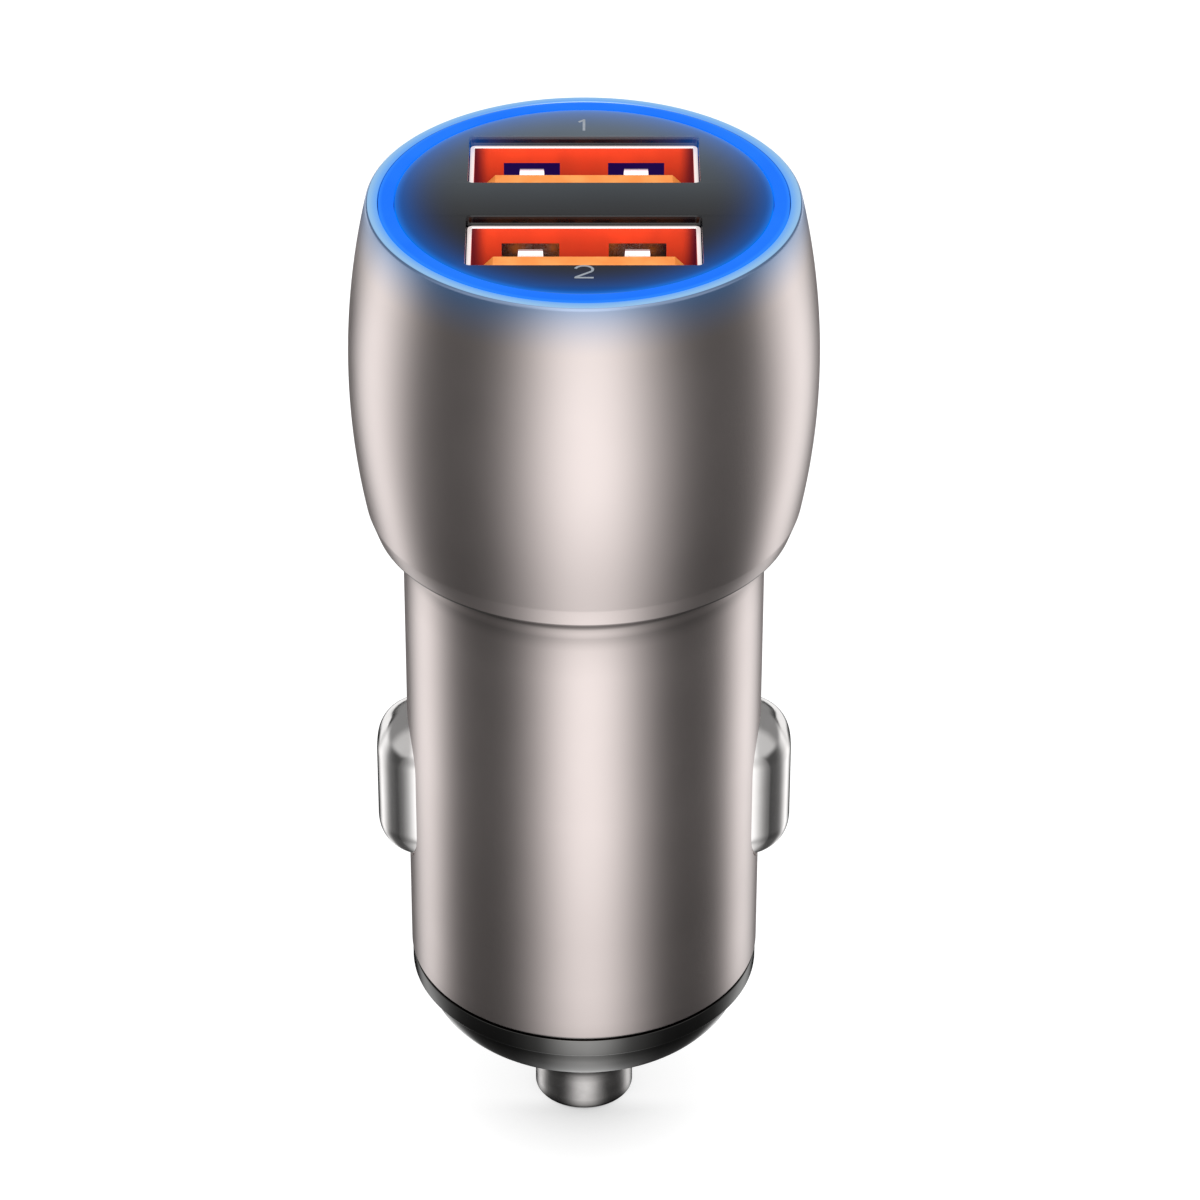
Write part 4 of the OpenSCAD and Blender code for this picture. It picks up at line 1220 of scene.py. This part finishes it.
# %% Light the room by turn and tilt
compass = maths("ARCTAN2", half_x, maths("MULTIPLY", half_y, -1.0))
compass = maths("ABSOLUTE", maths("SUBTRACT", compass, PANEL_TURN))
walls = stepped(compass, 0, math.pi / 2, STUDIO)
tilt = maths("ARCSINE", half_z)
slopes = stepped(tilt, -math.pi / 2, math.pi / 2, TILT)
panels = blend_colour(1.0, walls, slopes, "MULTIPLY")
behind = maths("MULTIPLY", ranged(way_y, 0.5, 0.75), ranged(way_z, -0.45, -0.32))
behind = maths("MULTIPLY", behind, ranged(way_z, 0.0, 0.06, 1.0, 0.0))
walls_and_back = blend_colour(behind, panels, (BACK_LEVEL,) * 3)
aside = ranged(maths("ABSOLUTE", way_x), 0.1, 0.5, 1.0, 0.22)
over_camera = maths("MULTIPLY", ranged(way_y, -0.3, 0.15, 1.0, 0.0), aside)
ceiling = blend_colour(over_camera, (HIGH_LEVEL,) * 3, (HIGH_FRONT_LEVEL,) * 3)
raised = ranged(way_z, 0.05, 0.3)
room = blend_colour(raised, walls_and_back, ceiling)

# %% [markdown]
# The ray's kind picks what it sees: the camera and anything seen through glass get
# white, a matt bounce gets the plain level, and a mirrored ray gets the room.

# %% What each kind of ray sees
rays = node(world, "ShaderNodeLightPath")
seen = blend_colour(rays.outputs["Is Diffuse Ray"], room, (PLAIN_LEVEL,) * 3)
straight = maths("MAXIMUM", rays.outputs["Is Camera Ray"], rays.outputs["Is Transmission Ray"])
seen = blend_colour(straight, seen, (1.0, 1.0, 1.0))
join(seen, backdrop.inputs["Color"])
join(1.0, backdrop.inputs["Strength"])
print("the room has", len(STUDIO), "steps from panel to flag")

# %% [markdown]
# ## The floor
# The plug stands on its tip on a white sweep. The camera sees the floor as white with
# the plug's soft shadow: most of the white is given off by the floor, less of it where
# the tip and the nose shut out the light close by, mainly in front, and the rest is
# light that falls on it. Mirrored rays pass the floor and see the room, as they would in
# a studio with a lit sweep.

# %% Lay the floor
floor_mesh = bpy.data.meshes.new("floor")
half_floor = 3.0
floor_mesh.from_pydata([(-half_floor, -half_floor, 0), (half_floor, -half_floor, 0),
                        (half_floor, half_floor, 0), (-half_floor, half_floor, 0)], [], [(0, 1, 2, 3)])
floor = stand("floor", floor_mesh)
floor.visible_glossy = False
floor_finish = new_finish("white sweep", (0.8, 0.8, 0.8), 0.0, 1.0, Specular_IOR_Level=0.0)
floor_rays = node(floor_finish, "ShaderNodeLightPath")
seen_by = maths("MAXIMUM", floor_rays.outputs["Is Camera Ray"],
                floor_rays.outputs["Is Transmission Ray"])
floor_tone = blend_colour(seen_by, (0.8, 0.8, 0.8), (0.42, 0.42, 0.42))
shadow_reach = 6
shadow_share = 0.62
floor_white = 0.8
open_sky = node(floor_finish, "ShaderNodeAmbientOcclusion", samples=8)
join(shadow_reach * MM, open_sky.inputs["Distance"])
in_front = ranged(from_axis(floor_finish)[2], -3.4 * MM, -1.6 * MM, 1.0, 0.15)
shut_out = maths("SUBTRACT", 1.0, open_sky.outputs["AO"])
shut_out = maths("MULTIPLY", maths("MULTIPLY", shut_out, in_front), shadow_share)
white_level = maths("SUBTRACT", floor_white, shut_out)
white_level = maths("MULTIPLY", white_level, seen_by)
feed(floor_finish, Base_Color=floor_tone, Emission_Color=(1.0, 1.0, 1.0), Emission_Strength=white_level)
floor_mesh.materials.append(floor_finish)

# %% [markdown]
# ## Lamp and camera
# One broad lamp hangs over the plug and gives the shadow its soft core. The camera
# stands in front and above, with a long lens, and looks down by about 33 degrees: the
# place, the tilt and the lens were worked out from the ellipses of the rim and of the
# barrel's two ends in the photograph. The plug stands a little left of the middle, so
# the lens is shifted.

# %% Hang the lamp
lamp = bpy.data.lights.new("overhead lamp", "AREA")
lamp.shape = "DISK"
lamp.size = 0.5
lamp.energy = 0.6
lamp_holder = stand("overhead lamp", lamp)
lamp_holder.location = (0, 0, 0.6)
lamp_holder.visible_glossy = False

# %% Set up the camera
camera_back = 246.798
camera_up = 136.406
camera_down = 33.4715
lens_pixels = 5053.77
image_size = 1200
plug_off_middle = 16
camera_data = bpy.data.cameras.new("camera")
camera_data.sensor_width = 36
camera_data.lens = lens_pixels * camera_data.sensor_width / image_size
camera_data.shift_x = plug_off_middle / image_size
camera_data.clip_start = 0.01
camera = stand("camera", camera_data)
camera.location = (0, -camera_back * MM, (top_z + camera_up) * MM)
camera.rotation_euler = (math.radians(90 - camera_down), 0, 0)
bpy.context.scene.camera = camera
bpy.context.scene.view_settings.view_transform = "Standard"
print("camera lens %.1f mm" % camera_data.lens)
